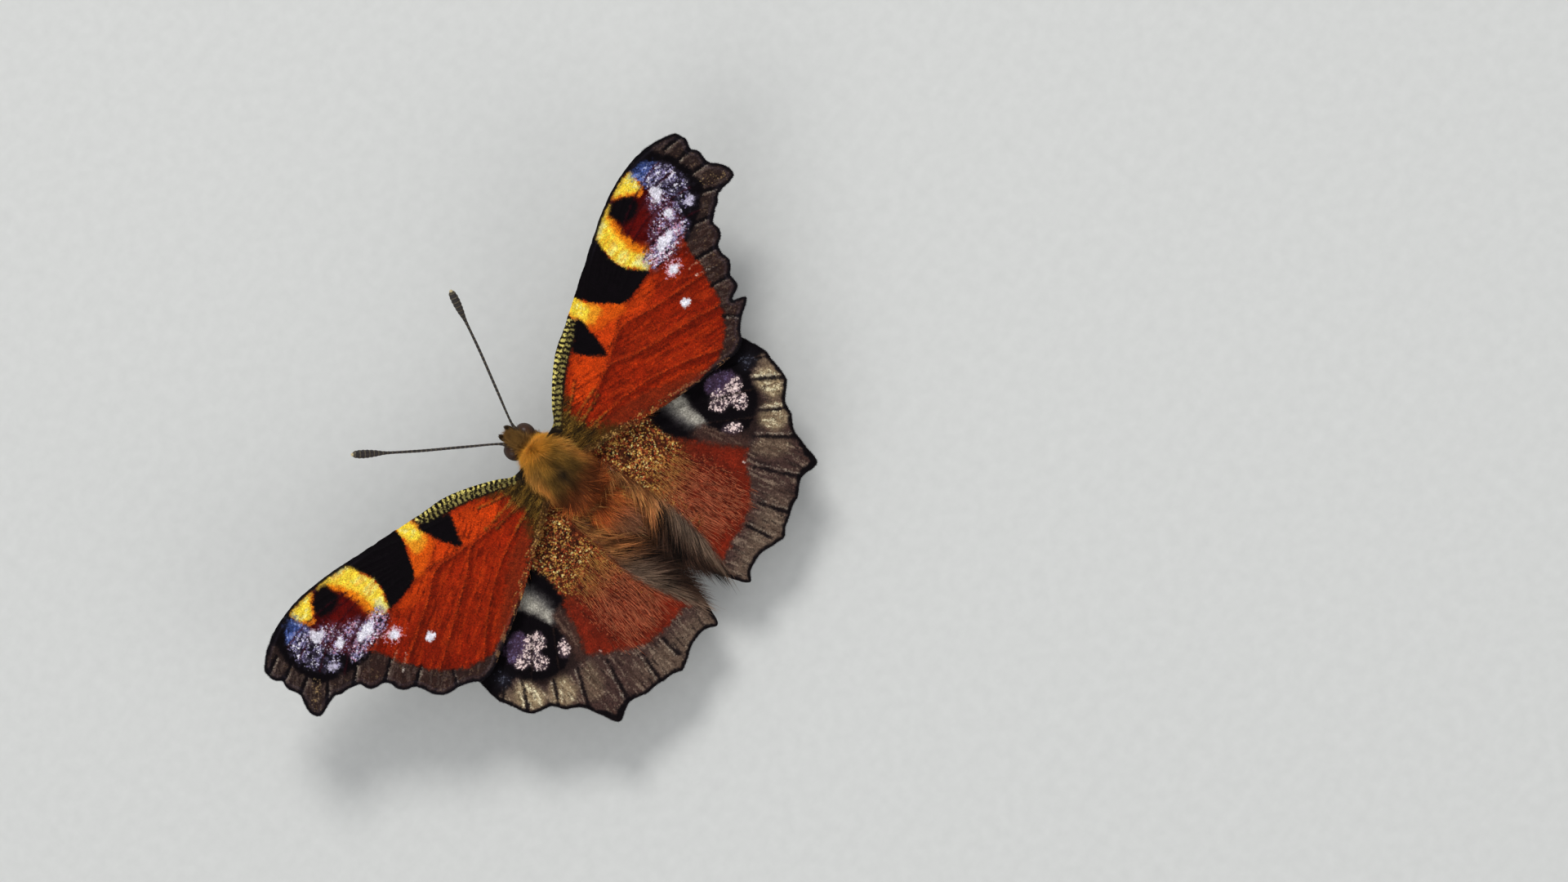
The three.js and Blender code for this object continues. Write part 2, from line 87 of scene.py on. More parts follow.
DIHEDRAL = math.tan(math.radians(4))
TIP_DROOP = 0.004
DROOP_START = 14
HINDWING_DROP = 1.12
HINDWING_LIFT = 0.5
LIFT_FROM, LIFT_TO = 8.5, 14
ROOT_DEPTH = 1.1
PLEAT_DEPTH = 0.16
PLEAT_SHARE = 0.06
VEIN_RUN = 2
VEIN_STEP = 0.06
MARGIN_STEP = 0.085
RIDGE_HEIGHT, RIDGE_WIDTH = 0.085, 0.12
WAVE_HEIGHT, RIPPLE_HEIGHT = 0.07, 0.012
SMOOTHING_ROUNDS = 14
UNDER_COARSENESS = 1.7
EDGE_THICKNESS = 0.35
ROW_HEIGHT = 0.866
ABOVE_ALL = 50
SEGMENT_START, SEGMENT_LENGTH = 4.2, 1.38
SKIN_START, SKIN_END = -3.82, 15.36
TUFT_MAP = 0.003

# Each vein runs from its root on the thorax out to a tooth of the margin. Points are (x, y), or (x, y, z)
# where it leaves the wing's own surface. It stands up as a ridge from "rise" outwards. A tooth has its
# corner towards the costa, its tip and its rear corner, or its tip alone. A notch is the margin's inward
# point between this vein and the next, where the membrane folds down.
Vein = namedtuple("Vein", "name root rise path tooth notch", defaults=(None,))
FOREWING_VEINS = [
    Vein("costa", -1.3, 0, [(2.9, -1.5), (4, -2.47), (6, -3.96), (8, -5.13)], [(10.2, -5.85)],
         (11.6, -6.35)),
    Vein("subcosta", -0.95, 3, [(4.3, -1.6), (6, -2.95), (8, -4.15), (10, -5.1)],
         [(12.6, -6.7), (13.4, -7), (14.2, -7.27)], (16.3, -8)),
    Vein("R1", -0.7, 3, [(6, -2.1), (9, -3.7), (12, -5.2), (16, -7.4)],
         [(18.5, -8.78), (19.5, -9.12), (20.4, -9.38)], (21.6, -9.68)),
    Vein("R2", -0.5, 14, [(6, -1.75), (9, -3.15), (12, -4.55), (16, -6.5), (19.5, -8.3)],
         [(22.8, -9.9), (23.8, -10), (24.8, -10.03)], (26.3, -9.92)),
    Vein("R3", -0.3, 15, [(6, -1.45), (9, -2.7), (12, -4), (15, -5.35), (19, -7.25), (23, -8.75)],
         [(27.5, -9.6), (28.3, -9.28), (29, -8.95)], (29.72, -8.4)),
    Vein("R4", -0.15, 15,
         [(6, -1.2), (9, -2.35), (12, -3.6), (15, -4.9), (19, -6.6), (23, -7.85), (26.5, -8.1)],
         [(29.84, -7.85), (29.88, -7.4), (29.7, -7)], (29.47, -6.65)),
    Vein("R5", 0, 15,
         [(6, -0.95), (9, -2), (12, -3.2), (15, -4.5), (19, -6.05), (23, -6.95), (26.5, -6.75)],
         [(29.64, -6.15), (29.72, -5.7), (29.6, -5.25)], (29.5, -4.65)),
    Vein("M1", 0.15, 15, [(6, -0.72), (9, -1.65), (12, -2.8), (15, -4.1), (19, -5.45), (22.9, -5.78),
                          (25.6, -5.05), (28, -3.95)], [(30, -3.7), (30.2, -2.85), (29.85, -2.15)],
         (28.35, -2.25)),
    Vein("M2", 0.3, 15,
         [(6, -0.5), (9, -1.3), (12, -2.35), (15, -3.55), (18.3, -4.35), (21.9, -4.1), (24.5, -3.25)],
         [(27.65, -2.2), (27.2, -1.85), (26.6, -1.68)], (26, -1.35)),
    Vein("M3", 0.45, 13,
         [(6, -0.25), (9, -0.98), (12, -1.8), (15, -2.9), (18, -3), (20, -2.57), (22, -1.93)],
         [(25.5, -1.05), (25.4, -0.3), (24.95, 0.2)], (24.2, 0.48)),
    Vein("CuA1", 0.6, 9.5, [(6, -0.02), (9, -0.72), (11.4, -1.25), (13.3, -1.83), (16, -0.76), (20, 0.63)],
         [(23.85, 1.1), (23.8, 1.95), (23.4, 2.5)], (22.8, 2.85)),
    Vein("CuA2", 0.8, 3, [(6, 0.22), (8.4, -0.35), (10, -0.62), (11.95, 0.45), (14, 1.35), (18.1, 2.97)],
         [(22.5, 3.6), (22.25, 4.65), (21.6, 5.5)], (20.3, 6.05)),
    Vein("2A", 1.35, 3, [(6, 1.6), (10, 2.5), (14, 4.3), (17, 6.2)],
         [(19.3, 6.7), (18.85, 7.2), (18.1, 7.4)], (17.6, 7.45)),
    Vein("inner margin", 2.1, 0, [(4.4, 3.1), (8, 4.5), (12, 6)], [(16.4, 7.25)]),
]
HINDWING_VEINS = [
    Vein("costa", 1.2, 0, [(4.2, -0.1), (7, -1), (10.5, -0.7), (14, 1.2)], [(17.2, 4.2)], (18.3, 5.6)),
    Vein("Sc+R1", 1.6, 4, [(6, 1), (10, 1.5), (14, 3.4), (17, 5.6)],
         [(18.85, 6.55), (19.1, 7.4), (19.2, 8)], (19.3, 8.55)),
    Vein("Rs", 2, 4, [(6, 2.3), (10, 3.8), (13.5, 5.9), (16.5, 8)],
         [(19.35, 9.05), (19.35, 9.6), (19.15, 10.2)], (18.95, 11.05)),
    Vein("M1", 2.4, 4, [(6, 3.4), (9, 5.2), (12, 7.5), (15, 9.8)],
         [(18.75, 11.8), (18.4, 12.5), (17.85, 12.9)], (17.05, 13.35)),
    Vein("M2", 2.75, 4, [(6, 4.4), (9, 7), (12, 10), (14.3, 12.4)],
         [(16.6, 13.95), (16.35, 14.6), (15.85, 15.05)], (15.3, 15.75)),
    Vein("M3", 3.1, 4, [(5.5, 5.2), (8, 8), (10.3, 11), (12.1, 13.6), (13.6, 16.6)],
         [(14.85, 17.3), (14.3, 19.05), (13.4, 18.9)], (12.4, 18.7)),
    Vein("CuA1", 3.45, 4, [(5.1, 6), (7.2, 9.5), (8.8, 13), (10, 16.2)],
         [(11.6, 19.05), (10.8, 19.5), (10, 19.6)], (9.1, 19.95)),
    Vein("CuA2", 3.8, 4, [(4.6, 6.8), (6.1, 11), (6.9, 15)], [(8, 20.3), (7.4, 20.7), (6.6, 20.5)],
         (4.9, 19.95)),
    Vein("2A", 4.1, 3,
         [(3.3, 6, 0.15), (3.65, 9, 0.3), (3.75, 12, 0.3), (3.3, 15.5, 0.25), (2.85, 18.3, 0.1)],
         [(3.2, 20.15), (2.4, 20.75), (2, 20.3)], (1.85, 19.9)),
    Vein("inner margin", 4.5, 0, [(2.45, 6, -0.9), (2.25, 8, -1), (1.5, 9.8, -1.05), (0.85, 12, -1.05),
                                  (0.62, 15, -0.95), (1, 17.5, -0.5)], [(1.65, 19.4)]),
]
# The right forewing is torn a little where CuA2 meets its margin
TORN_MARGIN = {"tooth": [(22.45, 4), (21.1, 4.4), (22.1, 5.2)], "notch": (20.5, 5.95)}

ABDOMEN_LINE = [(4.2, -2, 1.35), (6, -2.75, 1.75), (8.5, -3.5, 1.9), (11, -4.2, 1.75), (13.2, -4.75, 1.25),
                (14.8, -5.1, 0.6), (15.3, -5.2, 0.3)]
ANTENNA = [(0.62, -3.3, -1.2, 0.2), (0.8, -3.8, -0.85, 0.2), (1.02, -4.3, -0.55, 0.12),
           (2.9, -6.9, 0.85, 0.12), (5.1, -9.9, 2.3, 0.125), (6.75, -12.3, 3.55, 0.15),
           (7.25, -13.05, 4, 0.29), (7.8, -13.85, 4.5, 0.37), (8.2, -14.45, 4.85, 0.3),
           (8.38, -14.7, 5, 0.1)]
PALP = [(0.42, -3, -2.85, 0.2), (0.46, -3.8, -2.85, 0.26), (0.47, -4.3, -2.25, 0.24),
        (0.46, -4.5, -1.6, 0.16), (0.45, -4.45, -1.1, 0.07)]
COIL_TURNS = 2.6
COIL_RADII = (1.2, 0.3)
COIL_CENTRE = (-3.55, -4.45)
COIL_TUBE = (0.17, 0.1)
# Stations of a claw: along the foot, aside, up, and its radius
CLAW = [(-0.1, 0.03, 0, 0.05), (0.18, 0.13, 0.07, 0.045), (0.3, 0.17, -0.06, 0.012)]
JOINT_PINCH, JOINT_WIDTH = 0.22, 1.3
FACET_HEIGHT = 0.02
RIBBON_INNER, RIBBON_OUTER = 0.16, 0.04
FRINGE_SEED, HAIR_SEED, DOWN_SEED = 60, 70, 80
WALKING_LEGS = {
    "mid": [(1.35, 0.4, 5.9, 0.5), (2.6, -0.1, 5.1, 0.36), (3.9, -0.6, 5.55, 0.32), (5.3, -1, 5.9, 0.24),
            (5.9, -1.3, 5.5, 0.17), (6.8, -1.75, 3.2, 0.17), (7.7, -2.2, 1, 0.13), (8.1, -2.5, 0.3, 0.14),
            (9.2, -3.4, 0.16, 0.11), (10.2, -4.3, 0.13, 0.09)],
    "hind": [(1.3, 2.9, 5.6, 0.5), (2.4, 3.7, 4.8, 0.36), (3.6, 4.6, 5.1, 0.32), (4.7, 5.5, 5.2, 0.24),
             (5.1, 6, 4.9, 0.17), (5.55, 7.6, 2.9, 0.17), (6, 9.2, 1, 0.13), (6.2, 9.8, 0.3, 0.14),
             (6.8, 11.2, 0.16, 0.11), (7.5, 12.6, 0.13, 0.09)],
}
FOLDED_LEG = [(0.9, -0.9, -2.7, 0.3), (1.15, -1.9, -3.75, 0.2), (1.3, -2.5, -4.3, 0.15),
              (1.2, -1.8, -4.75, 0.12), (1.05, -0.6, -4.9, 0.06)]


# Numbers, lines and noise


def ramp(value, low, high):
    """Smooth step from 0 at low to 1 at high."""
    t = np.clip((value - low) / (high - low), 0, 1)
    return t * t * (3 - 2 * t)


def unit(vectors):
    return vectors / np.maximum(np.linalg.norm(vectors, axis=-1, keepdims=True), 1e-12)


def rgb(red, green, blue):
    return np.array([red, green, blue]) / 255


def toned(colour, tone, share):
    """Colours moved towards a tone, each by its own share."""
    return colour + (tone - colour) * np.clip(share, 0, 1)[:, None]


def vectors(*parts):
    """Rows of which each part is a number or has one value a row."""
    return np.column_stack(np.broadcast_arrays(*parts)).astype(float)


def linear(colour):
    """sRGB values as the linear ones that a shader works in."""
    colour = np.clip(colour, 0, 1)
    return np.where(colour <= 0.04045, colour / 12.92, ((colour + 0.055) / 1.055) ** 2.4)


def smooth_path(points, steps=16):
    """A centripetal Catmull-Rom line through the points."""
    p = np.asarray(points, float)
    p = np.vstack([2 * p[0] - p[1], p, 2 * p[-1] - p[-2]])
    t = np.linspace(0, 1, steps, endpoint=False)[:, None]
    spans = []
    for a, b, c, d in zip(p, p[1:], p[2:], p[3:]):
        ab, bc, cd = (max(np.linalg.norm(s), 1e-9) ** 0.5 for s in (b - a, c - b, d - c))
        start = ((b - a) / ab - (c - a) / (ab + bc) + (c - b) / bc) * bc
        end = ((c - b) / bc - (d - b) / (bc + cd) + (d - c) / cd) * bc
        spans.append((2 * t**3 - 3 * t**2 + 1) * b + (t**3 - 2 * t**2 + t) * start
                     + (3 * t**2 - 2 * t**3) * c + (t**3 - t**2) * end)
    return np.vstack([*spans, p[-2:-1]])


def evenly(line, count):
    """The line's points moved so that they lie the same distance apart."""
    gone = np.concatenate([[0], np.cumsum(np.linalg.norm(np.diff(line, axis=0), axis=1))])
    stops = np.linspace(0, gone[-1], count)
    return np.column_stack([np.interp(stops, gone, column) for column in line.T])


def spaced(line, spacing):
    length = np.linalg.norm(np.diff(line, axis=0), axis=1).sum()
    return evenly(line, max(int(length / spacing), 2) + 1)


def blob(points):
    """A closed smooth outline through the points."""
    p = list(points)
    return smooth_path(p[-2:] + p + p[:2], 5)[10:-10]


def line_distance(points, line, widths=None):
    """How far points lie from a line, or from the edge of a line as wide as widths say."""
    best = np.full(len(points), np.inf)
    halves = np.zeros(len(line)) if widths is None else widths / 2
    for p, q, half in zip(line, line[1:], halves):
        edge = q - p
        t = np.clip((points - p) @ edge / max(edge @ edge, 1e-12), 0, 1)
        best = np.minimum(best, np.linalg.norm(points - p - t[:, None] * edge, axis=1) - half)
    return best


def holds(outline, points):
    """Which points lie inside a closed outline."""
    inside = np.zeros(len(points), bool)
    x, y = points.T
    for (x1, y1), (x2, y2) in zip(outline, np.roll(outline, -1, 0)):
        if y1 != y2:
            crosses = (y1 > y) != (y2 > y)
            inside ^= crosses & (x < (x2 - x1) * (y - y1) / (y2 - y1) + x1)
    return inside


def outside(outline, points):
    """How far points lie outside a closed outline, less than 0 inside it."""
    away = line_distance(points, np.vstack([outline, outline[:1]]))
    away[holds(outline, points)] *= -1
    return away


def nearest(samples, points):
    """For each point, the index of the nearest sample and its distance. Both are flat."""
    tree = KDTree(len(samples))
    for i, (x, y) in enumerate(samples):
        tree.insert((x, y, 0), i)
    tree.balance()
    found = [tree.find((x, y, 0))[1:] for x, y in points]
    return np.array([f[0] for f in found]), np.array([f[1] for f in found])


class Noise:
    """Smooth noise over the plane, from -1 to 1, the same for the same seed."""

    SIZE = 128

    def __init__(self, seed):
        self.values = np.random.default_rng(seed).uniform(-1, 1, (self.SIZE, self.SIZE))

    def at(self, places):
        cell = np.floor(places).astype(int)
        f = places - cell
        f = f * f * (3 - 2 * f)
        i, j = (cell % self.SIZE).T
        k, m = ((cell + 1) % self.SIZE).T
        v = self.values
        near = v[i, j] * (1 - f[:, 0]) + v[k, j] * f[:, 0]
        far = v[i, m] * (1 - f[:, 0]) + v[k, m] * f[:, 0]
        return near * (1 - f[:, 1]) + far * f[:, 1]

    def rough(self, places, octaves=3):
        return sum(self.at(places * 2**n + 17.3 * n) / 2**n for n in range(octaves)) / 1.6


# The animal's frame in the row frame


def body_frame():
    low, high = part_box("thorax")
    turn = np.array(Matrix.Rotation(-PITCH, 3, "X"))
    hinge = np.array((low + high) / 2) - turn @ np.array(THORAX["centre"]) * MM
    return turn, hinge


TURN, HINGE = body_frame()


def in_row(points):
    """Millimetres of the animal's frame, as metres of the row frame."""
    return np.asarray(points) @ TURN.T * MM + HINGE


def on_floor(points):
    """Millimetres above the floor under the hinge, as metres of the row frame."""
    return (np.asarray(points) - [0, 0, HINGE_HEIGHT]) * MM + HINGE


def with_head(points, way=1):
    """Turns points of the head about the neck, as the animal does, or back with a way of -1."""
    turn = np.array(Matrix.Rotation(way * HEAD_YAW, 3, "Z"))
    return (np.asarray(points, float) - NECK) @ turn.T + NECK


def on_side(side, points, faces):
    """Points and faces of the left side, mirrored where side is -1."""
    if side > 0:
        return points, faces
    return np.asarray(points) * [-1, 1, 1], [f[::-1] for f in faces]


# Meshes


def set_values(mesh, name, kind, values):
    """Stores a value, a vector or a colour for each vertex."""
    attribute = mesh.attributes.get(name) or mesh.attributes.new(name, kind, "POINT")
    field = {"FLOAT": "value", "FLOAT_VECTOR": "vector", "FLOAT_COLOR": "color"}[kind]
    attribute.data.foreach_set(field, np.ascontiguousarray(values, np.float32).ravel())


def values_of(mesh, name):
    values = np.zeros(len(mesh.vertices), np.float32)
    mesh.attributes[name].data.foreach_get("value", values)
    return values


def opaque(colour):
    return (*linear(colour), 1)


def set_colour(mesh, name, colours):
    """Stores sRGB colours, one a vertex, as linear ones."""
    set_values(mesh, name, "FLOAT_COLOR", np.column_stack([linear(colours), np.ones(len(colours))]))


def new_mesh(name, points, faces, smooth=True):
    mesh = bpy.data.meshes.new(name)
    mesh.from_pydata(np.asarray(points, float).tolist(), [], [list(map(int, f)) for f in faces])
    if smooth:
        mesh.shade_smooth()
    mesh.validate()
    return mesh


def bake_map(mesh, places):
    """A UV map that gives each vertex its own place."""
    corners = np.zeros(len(mesh.loops), np.int32)
    mesh.loops.foreach_get("vertex_index", corners)
    layer = mesh.uv_layers.new(name="OFBake")
    layer.data.foreach_set("uv", np.asarray(places, np.float32)[corners].ravel())


def in_scene(name, data):
    thing = bpy.data.objects.new(name, data)
    bpy.context.scene.collection.objects.link(thing)
    return thing


def piece(mesh, material, slot, nodes=()):
    """Puts a finished mesh in the scene as a piece of the animal."""
    thing = in_scene(mesh.name, mesh)
    if material is not None:
        mesh.materials.clear()
        mesh.materials.append(material)
    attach(thing, "root")
    if nodes:
        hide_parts(*nodes)


def bands(rings, sides):
    """The faces between rings of points."""
    faces = []
    for i in range(rings - 1):
        for k in range(sides):
            a, b = i * sides + k, i * sides + (k + 1) % sides
            faces.append((a, b, b + sides, a + sides))
    return faces


def tube(stations, sides, steps, ripple=0.0, ripples=0):
    """Points, faces and share along it of a closed round limb. Stations are (x, y, z, radius)."""
    line = evenly(smooth_path(stations), steps + 1)
    along = unit(np.gradient(line[:, :3], axis=0))
    spoke = np.cross(along[0], (0.3, 0.2, 1.0))
    rings, share = [], []
    for i, (row, forward) in enumerate(zip(line, along)):
        spoke = unit(spoke - (spoke @ forward) * forward)
        other = np.cross(forward, spoke)
        t = i / steps
        radius = row[3] * (1 + ripple * math.cos(2 * math.pi * ripples * t))
        turn = np.linspace(0, 2 * math.pi, sides, endpoint=False)[:, None]
        rings.append(row[:3] + radius * (np.cos(turn) * spoke + np.sin(turn) * other))
        share += [t] * sides
    points = np.vstack([*rings, line[:1, :3], line[-1:, :3]])
    faces = bands(steps + 1, sides)
    last, near = steps * sides, (steps + 1) * sides
    for k in range(sides):
        faces.append((near, (k + 1) % sides, k))
        faces.append((near + 1, last + k, last + (k + 1) % sides))
    return points, faces, np.array([*share, 0, 1])


def joined(parts):
    """Several (points, faces, share) as one."""
    points, faces, share, start = [], [], [], 0
    for p, f, s in parts:
        points.append(p)
        faces += [tuple(i + start for i in face) for face in f]
        share.append(s)
        start += len(p)
    return np.vstack(points), faces, np.concatenate(share)


# Node trees


class Graph:
    """Short hand for adding nodes to a tree and joining them."""

    def __init__(self, tree):
        self.tree = tree

    def give(self, socket, value):
        if isinstance(value, bpy.types.NodeSocket):
            self.tree.links.new(value, socket)
        else:
            socket.default_value = value

    def add(self, kind, inputs=None, **settings):
        node = self.tree.nodes.new(kind)
        for name, value in settings.items():
            setattr(node, name, value)
        for key, value in (inputs or {}).items():
            self.give(node.inputs[key], value)
        return node

    def math(self, operation, a, b=0.0):
        return self.add("ShaderNodeMath", {0: a, 1: b}, operation=operation).outputs[0]

    def vector(self, operation, a, b=(0, 0, 0), scale=None):
        inputs = {0: a} if operation in ("NORMALIZE", "SCALE") else {0: a, 1: b}
        if scale is not None:
            inputs["Scale"] = scale
        return self.add("ShaderNodeVectorMath", inputs, operation=operation).outputs[0]


class Finish(Graph):
    """A new material: its graph, its Principled surface and where Object coordinates come from. Sizes of
    its patterns are in millimetres."""

    def __init__(self, name, roughness, specular=0.5):
        self.material = bpy.data.materials.new(name)
        self.material.use_nodes = True
        super().__init__(self.material.node_tree)
        self.surface = self.tree.nodes["Principled BSDF"].inputs
        self.set("Roughness", roughness)
        self.set("Specular IOR Level", specular)
        self.place = self.add("ShaderNodeTexCoord").outputs["Object"]

    def set(self, socket, value):
        self.give(self.surface[socket], value)

    def read(self, name, output="Fac"):
        return self.add("ShaderNodeAttribute", attribute_name=name).outputs[output]

    def noise(self, size, detail):
        inputs = {"Vector": self.place, "Scale": 1 / (size * MM), "Detail": detail}
        return self.add("ShaderNodeTexNoise", inputs).outputs[0]

    def cells(self, size):
        return self.add("ShaderNodeTexVoronoi", {"Vector": self.place, "Scale": 1 / (size * MM)}).outputs

    def fitted(self, value, low, high, start=0.0, end=1.0):
        """A value that runs from start to end, as one from low to high."""
        return self.add("ShaderNodeMapRange", {0: value, 1: start, 2: end, 3: low, 4: high}).outputs[0]

    def mix(self, share, a, b, blend="MIX"):
        inputs = {0: share, 6: a, 7: b}
        return self.add("ShaderNodeMix", inputs, data_type="RGBA", blend_type=blend).outputs[2]

    def times(self, colour, value):
        return self.mix(1.0, colour, value, "MULTIPLY")

    def bump(self, height, strength, distance):
        inputs = {"Height": height, "Strength": strength, "Distance": distance * MM}
        self.set("Normal", self.add("ShaderNodeBump", inputs).outputs[0])


def wing_material(name):
    """Overlapping scales: each has its own shade of the pigment, its own gloss and its own hump."""
    m = Finish(name, 0.7, 0.05)
    cells = m.cells(0.085)
    one = m.add("ShaderNodeSeparateColor", {0: cells["Color"]}).outputs[0]
    clouds = m.noise(0.45, 3)
    value = m.fitted(one, 0.7, 1.3)
    shaded = m.times(m.read("pigment", "Color"), value)
    m.set("Base Color", m.times(shaded, m.fitted(clouds, 0.8, 1.2, 0.3, 0.7)))
    m.set("Roughness", m.fitted(one, 0.55, 0.85))
    m.bump(cells["Distance"], 0.55, 0.03)
    return m.material


def coat_material(name, root, tip, bright=(0.55, 1.35)):
    """Hair: darker at its root, each tuft with its own shade."""
    m = Finish(name, 0.62, 0.16)
    value = m.math("MULTIPLY", m.fitted(m.read("along"), root, tip), m.fitted(m.read("shade"), *bright))
    m.set("Base Color", m.times(m.read("coat_colour", "Color"), value))
    return m.material


def horn_material(name, dark, pale, rings, pale_share):
    """Horny skin under fine scales, with pale rings along it and a pale tip."""
    m = Finish(name, 0.45, 0.4)
    wave = m.math("SINE", m.math("MULTIPLY", m.read("along"), 2 * math.pi * rings))
    ring = m.fitted(wave, 0.0, pale_share, 0.55, 0.95)
    speck = m.noise(0.12, 2)
    grain = m.fitted(speck, 0.6, 1.5, 0.3, 0.7)
    tone = m.mix(ring, opaque(dark), opaque(pale))
    tone = m.mix(m.fitted(m.read("tip"), 0.0, 1.0), tone, opaque(pale))
    m.set("Base Color", m.times(tone, grain))
    m.bump(speck, 0.5, 0.02)
    return m.material


def tuft_tree():
    """Sets tufts on a surface, leaning along its lie, and makes them real."""
    tree = bpy.data.node_groups.new("Coat of tufts", "GeometryNodeTree")
    face = tree.interface
    face.new_socket("Geometry", in_out="OUTPUT", socket_type="NodeSocketGeometry")
    face.new_socket("Geometry", in_out="INPUT", socket_type="NodeSocketGeometry")
    for name, kind in (("Tuft", "Object"), ("Density", "Float"), ("Length", "Float"), ("Lift", "Float"),
                       ("Spread", "Float"), ("Seed", "Int"), ("Material", "Material")):
        face.new_socket(name, in_out="INPUT", socket_type=f"NodeSocket{kind}")
    graph = Graph(tree)
    given = graph.add("NodeGroupInput").outputs

    def made(kind, inputs, **settings):
        return graph.add(kind, inputs, **settings).outputs[0]

    def named(name, kind):
        return made("GeometryNodeInputNamedAttribute", {"Name": name}, data_type=kind)

    def scaled(vector, share):
        return graph.vector("SCALE", vector, scale=share)

    density = graph.math("MULTIPLY", given["Density"], named("coat", "FLOAT"))
    strewn = graph.add("GeometryNodeDistributePointsOnFaces",
                       {"Mesh": given["Geometry"], "Density": density, "Seed": given["Seed"]})
    normal = strewn.outputs["Normal"]
    flat = scaled(named("lie", "FLOAT_VECTOR"), graph.math("COSINE", given["Lift"]))
    raised = scaled(normal, graph.math("SINE", given["Lift"]))
    stray = made("FunctionNodeRandomValue", {0: (-1, -1, -1), 1: (1, 1, 1), 8: 11}, data_type="FLOAT_VECTOR")
    stray = scaled(stray, given["Spread"])
    way = graph.vector("NORMALIZE", graph.vector("ADD", graph.vector("ADD", flat, raised), stray))
    rotation = made("FunctionNodeAxesToRotation", {0: way, 1: normal}, primary_axis="Z", secondary_axis="X")
    some = graph.add("FunctionNodeRandomValue", {2: 0.65, 3: 1.2, 8: 5}, data_type="FLOAT").outputs[1]
    length = graph.math("MULTIPLY", given["Length"], named("coat_length", "FLOAT"))
    size = graph.math("MULTIPLY", length, some)
    shade = graph.add("FunctionNodeRandomValue", {2: 0.0, 3: 1.0, 8: 23}, data_type="FLOAT").outputs[1]
    marked = made("GeometryNodeStoreNamedAttribute",
                  {"Geometry": strewn.outputs["Points"], "Name": "shade", "Value": shade},
                  data_type="FLOAT", domain="POINT")
    shape = graph.add("GeometryNodeObjectInfo", {"Object": given["Tuft"]}).outputs["Geometry"]
    planted = made("GeometryNodeInstanceOnPoints",
                   {"Points": marked, "Instance": shape, "Rotation": rotation, "Scale": size})
    real = made("GeometryNodeRealizeInstances", {"Geometry": planted})
    place = graph.vector("ADD", named("OFBake", "FLOAT_VECTOR"),
                         scaled(named("patch", "FLOAT_VECTOR"), TUFT_MAP))
    mapped = made("GeometryNodeStoreNamedAttribute", {"Geometry": real, "Name": "OFBake", "Value": place},
                  data_type="FLOAT2", domain="CORNER")
    smooth = made("GeometryNodeSetShadeSmooth", {0: mapped})
    coloured = made("GeometryNodeSetMaterial", {"Geometry": smooth, "Material": given["Material"]})
    graph.add("NodeGroupOutput", {0: coloured})
    return tree


# The tufts of a coat: how many on a square mm, length in mm, thickness and bend as shares of the length, how
# far they rise and stray, their rings, and how closely they keep to the ground
Tufts = namedtuple("Tufts", "density length thickness bend lift spread rings cling", defaults=(3, 1))


def tuft_mesh(look, sides=3):
    """One tapered tuft, a unit long along Z, curving towards -X by its bend."""
    points, along, patch = [], [], []
    for i in range(look.rings):
        z = i / look.rings
        radius = look.thickness * (1 - z) ** 0.6
        for k in range(sides):
            angle = 2 * math.pi * k / sides
            x, y = radius * math.cos(angle), radius * math.sin(angle)
            points.append((x * 0.7 - look.bend * z * z, y, z))
            along.append(z)
            patch.append((0.5 + 0.5 * y / look.thickness, z, 0))
    points.append((-look.bend, 0, 1))
    along.append(1)
    patch.append((0.5, 1, 0))
    faces = bands(look.rings, sides)
    top = (look.rings - 1) * sides
    faces += [(top + k, top + (k + 1) % sides, top + sides) for k in range(sides)]
    faces.append(tuple(reversed(range(sides))))
    mesh = new_mesh("tuft", points, faces)
    set_values(mesh, "along", "FLOAT", along)
    set_values(mesh, "patch", "FLOAT_VECTOR", patch)
    return mesh


def grow_coat(name, host, look, weight, length, lie, colour, material, slot, seed):
    """Grows tufts on a host mesh. Weight, length and colour are given at each vertex, and lie is the way
    that the coat lies there."""
    ground = host.copy()
    normals = np.zeros(len(ground.vertices) * 3, np.float32)
    ground.vertex_normals.foreach_get("vector", normals)
    normals = normals.reshape(-1, 3)
    lie = np.asarray(lie, float)
    lie = lie - look.cling * (lie * normals).sum(1)[:, None] * normals
    set_values(ground, "coat", "FLOAT", np.clip(weight, 0, 1))
    set_values(ground, "coat_length", "FLOAT", length)
    set_values(ground, "lie", "FLOAT_VECTOR", unit(lie))
    set_colour(ground, "coat_colour", colour)
    carrier, tuft = in_scene(name, ground), in_scene("tuft", tuft_mesh(look))
    tree = bpy.data.node_groups.get("Coat of tufts") or tuft_tree()
    modifier = carrier.modifiers.new("Coat", "NODES")
    modifier.node_group = tree
    values = {"Tuft": tuft, "Density": look.density / MM**2, "Length": look.length * MM, "Lift": look.lift,
              "Spread": look.spread, "Seed": seed, "Material": material}
    for socket in tree.interface.items_tree:
        if socket.name in values:
            modifier[socket.identifier] = values[socket.name]
    graph = bpy.context.evaluated_depsgraph_get()
    grown = bpy.data.meshes.new_from_object(carrier.evaluated_get(graph), depsgraph=graph,
                                            preserve_all_data_layers=True)
    grown.name = name
    for thing in (carrier, tuft):
        mesh = thing.data
        bpy.data.objects.remove(thing)
        bpy.data.meshes.remove(mesh)
    if not grown.polygons:
        raise RuntimeError(f"{name} has no tufts")
    piece(grown, None, slot)


# Wings


def forewing_surface(places):
    x = np.asarray(places, float)[..., 0]
    return x * DIHEDRAL - TIP_DROOP * np.maximum(x - DROOP_START, 0) ** 2


def hindwing_surface(places):
    y = np.asarray(places, float)[..., 1]
    return forewing_surface(places) - HINDWING_DROP + HINDWING_LIFT * ramp(y, LIFT_FROM, LIFT_TO)


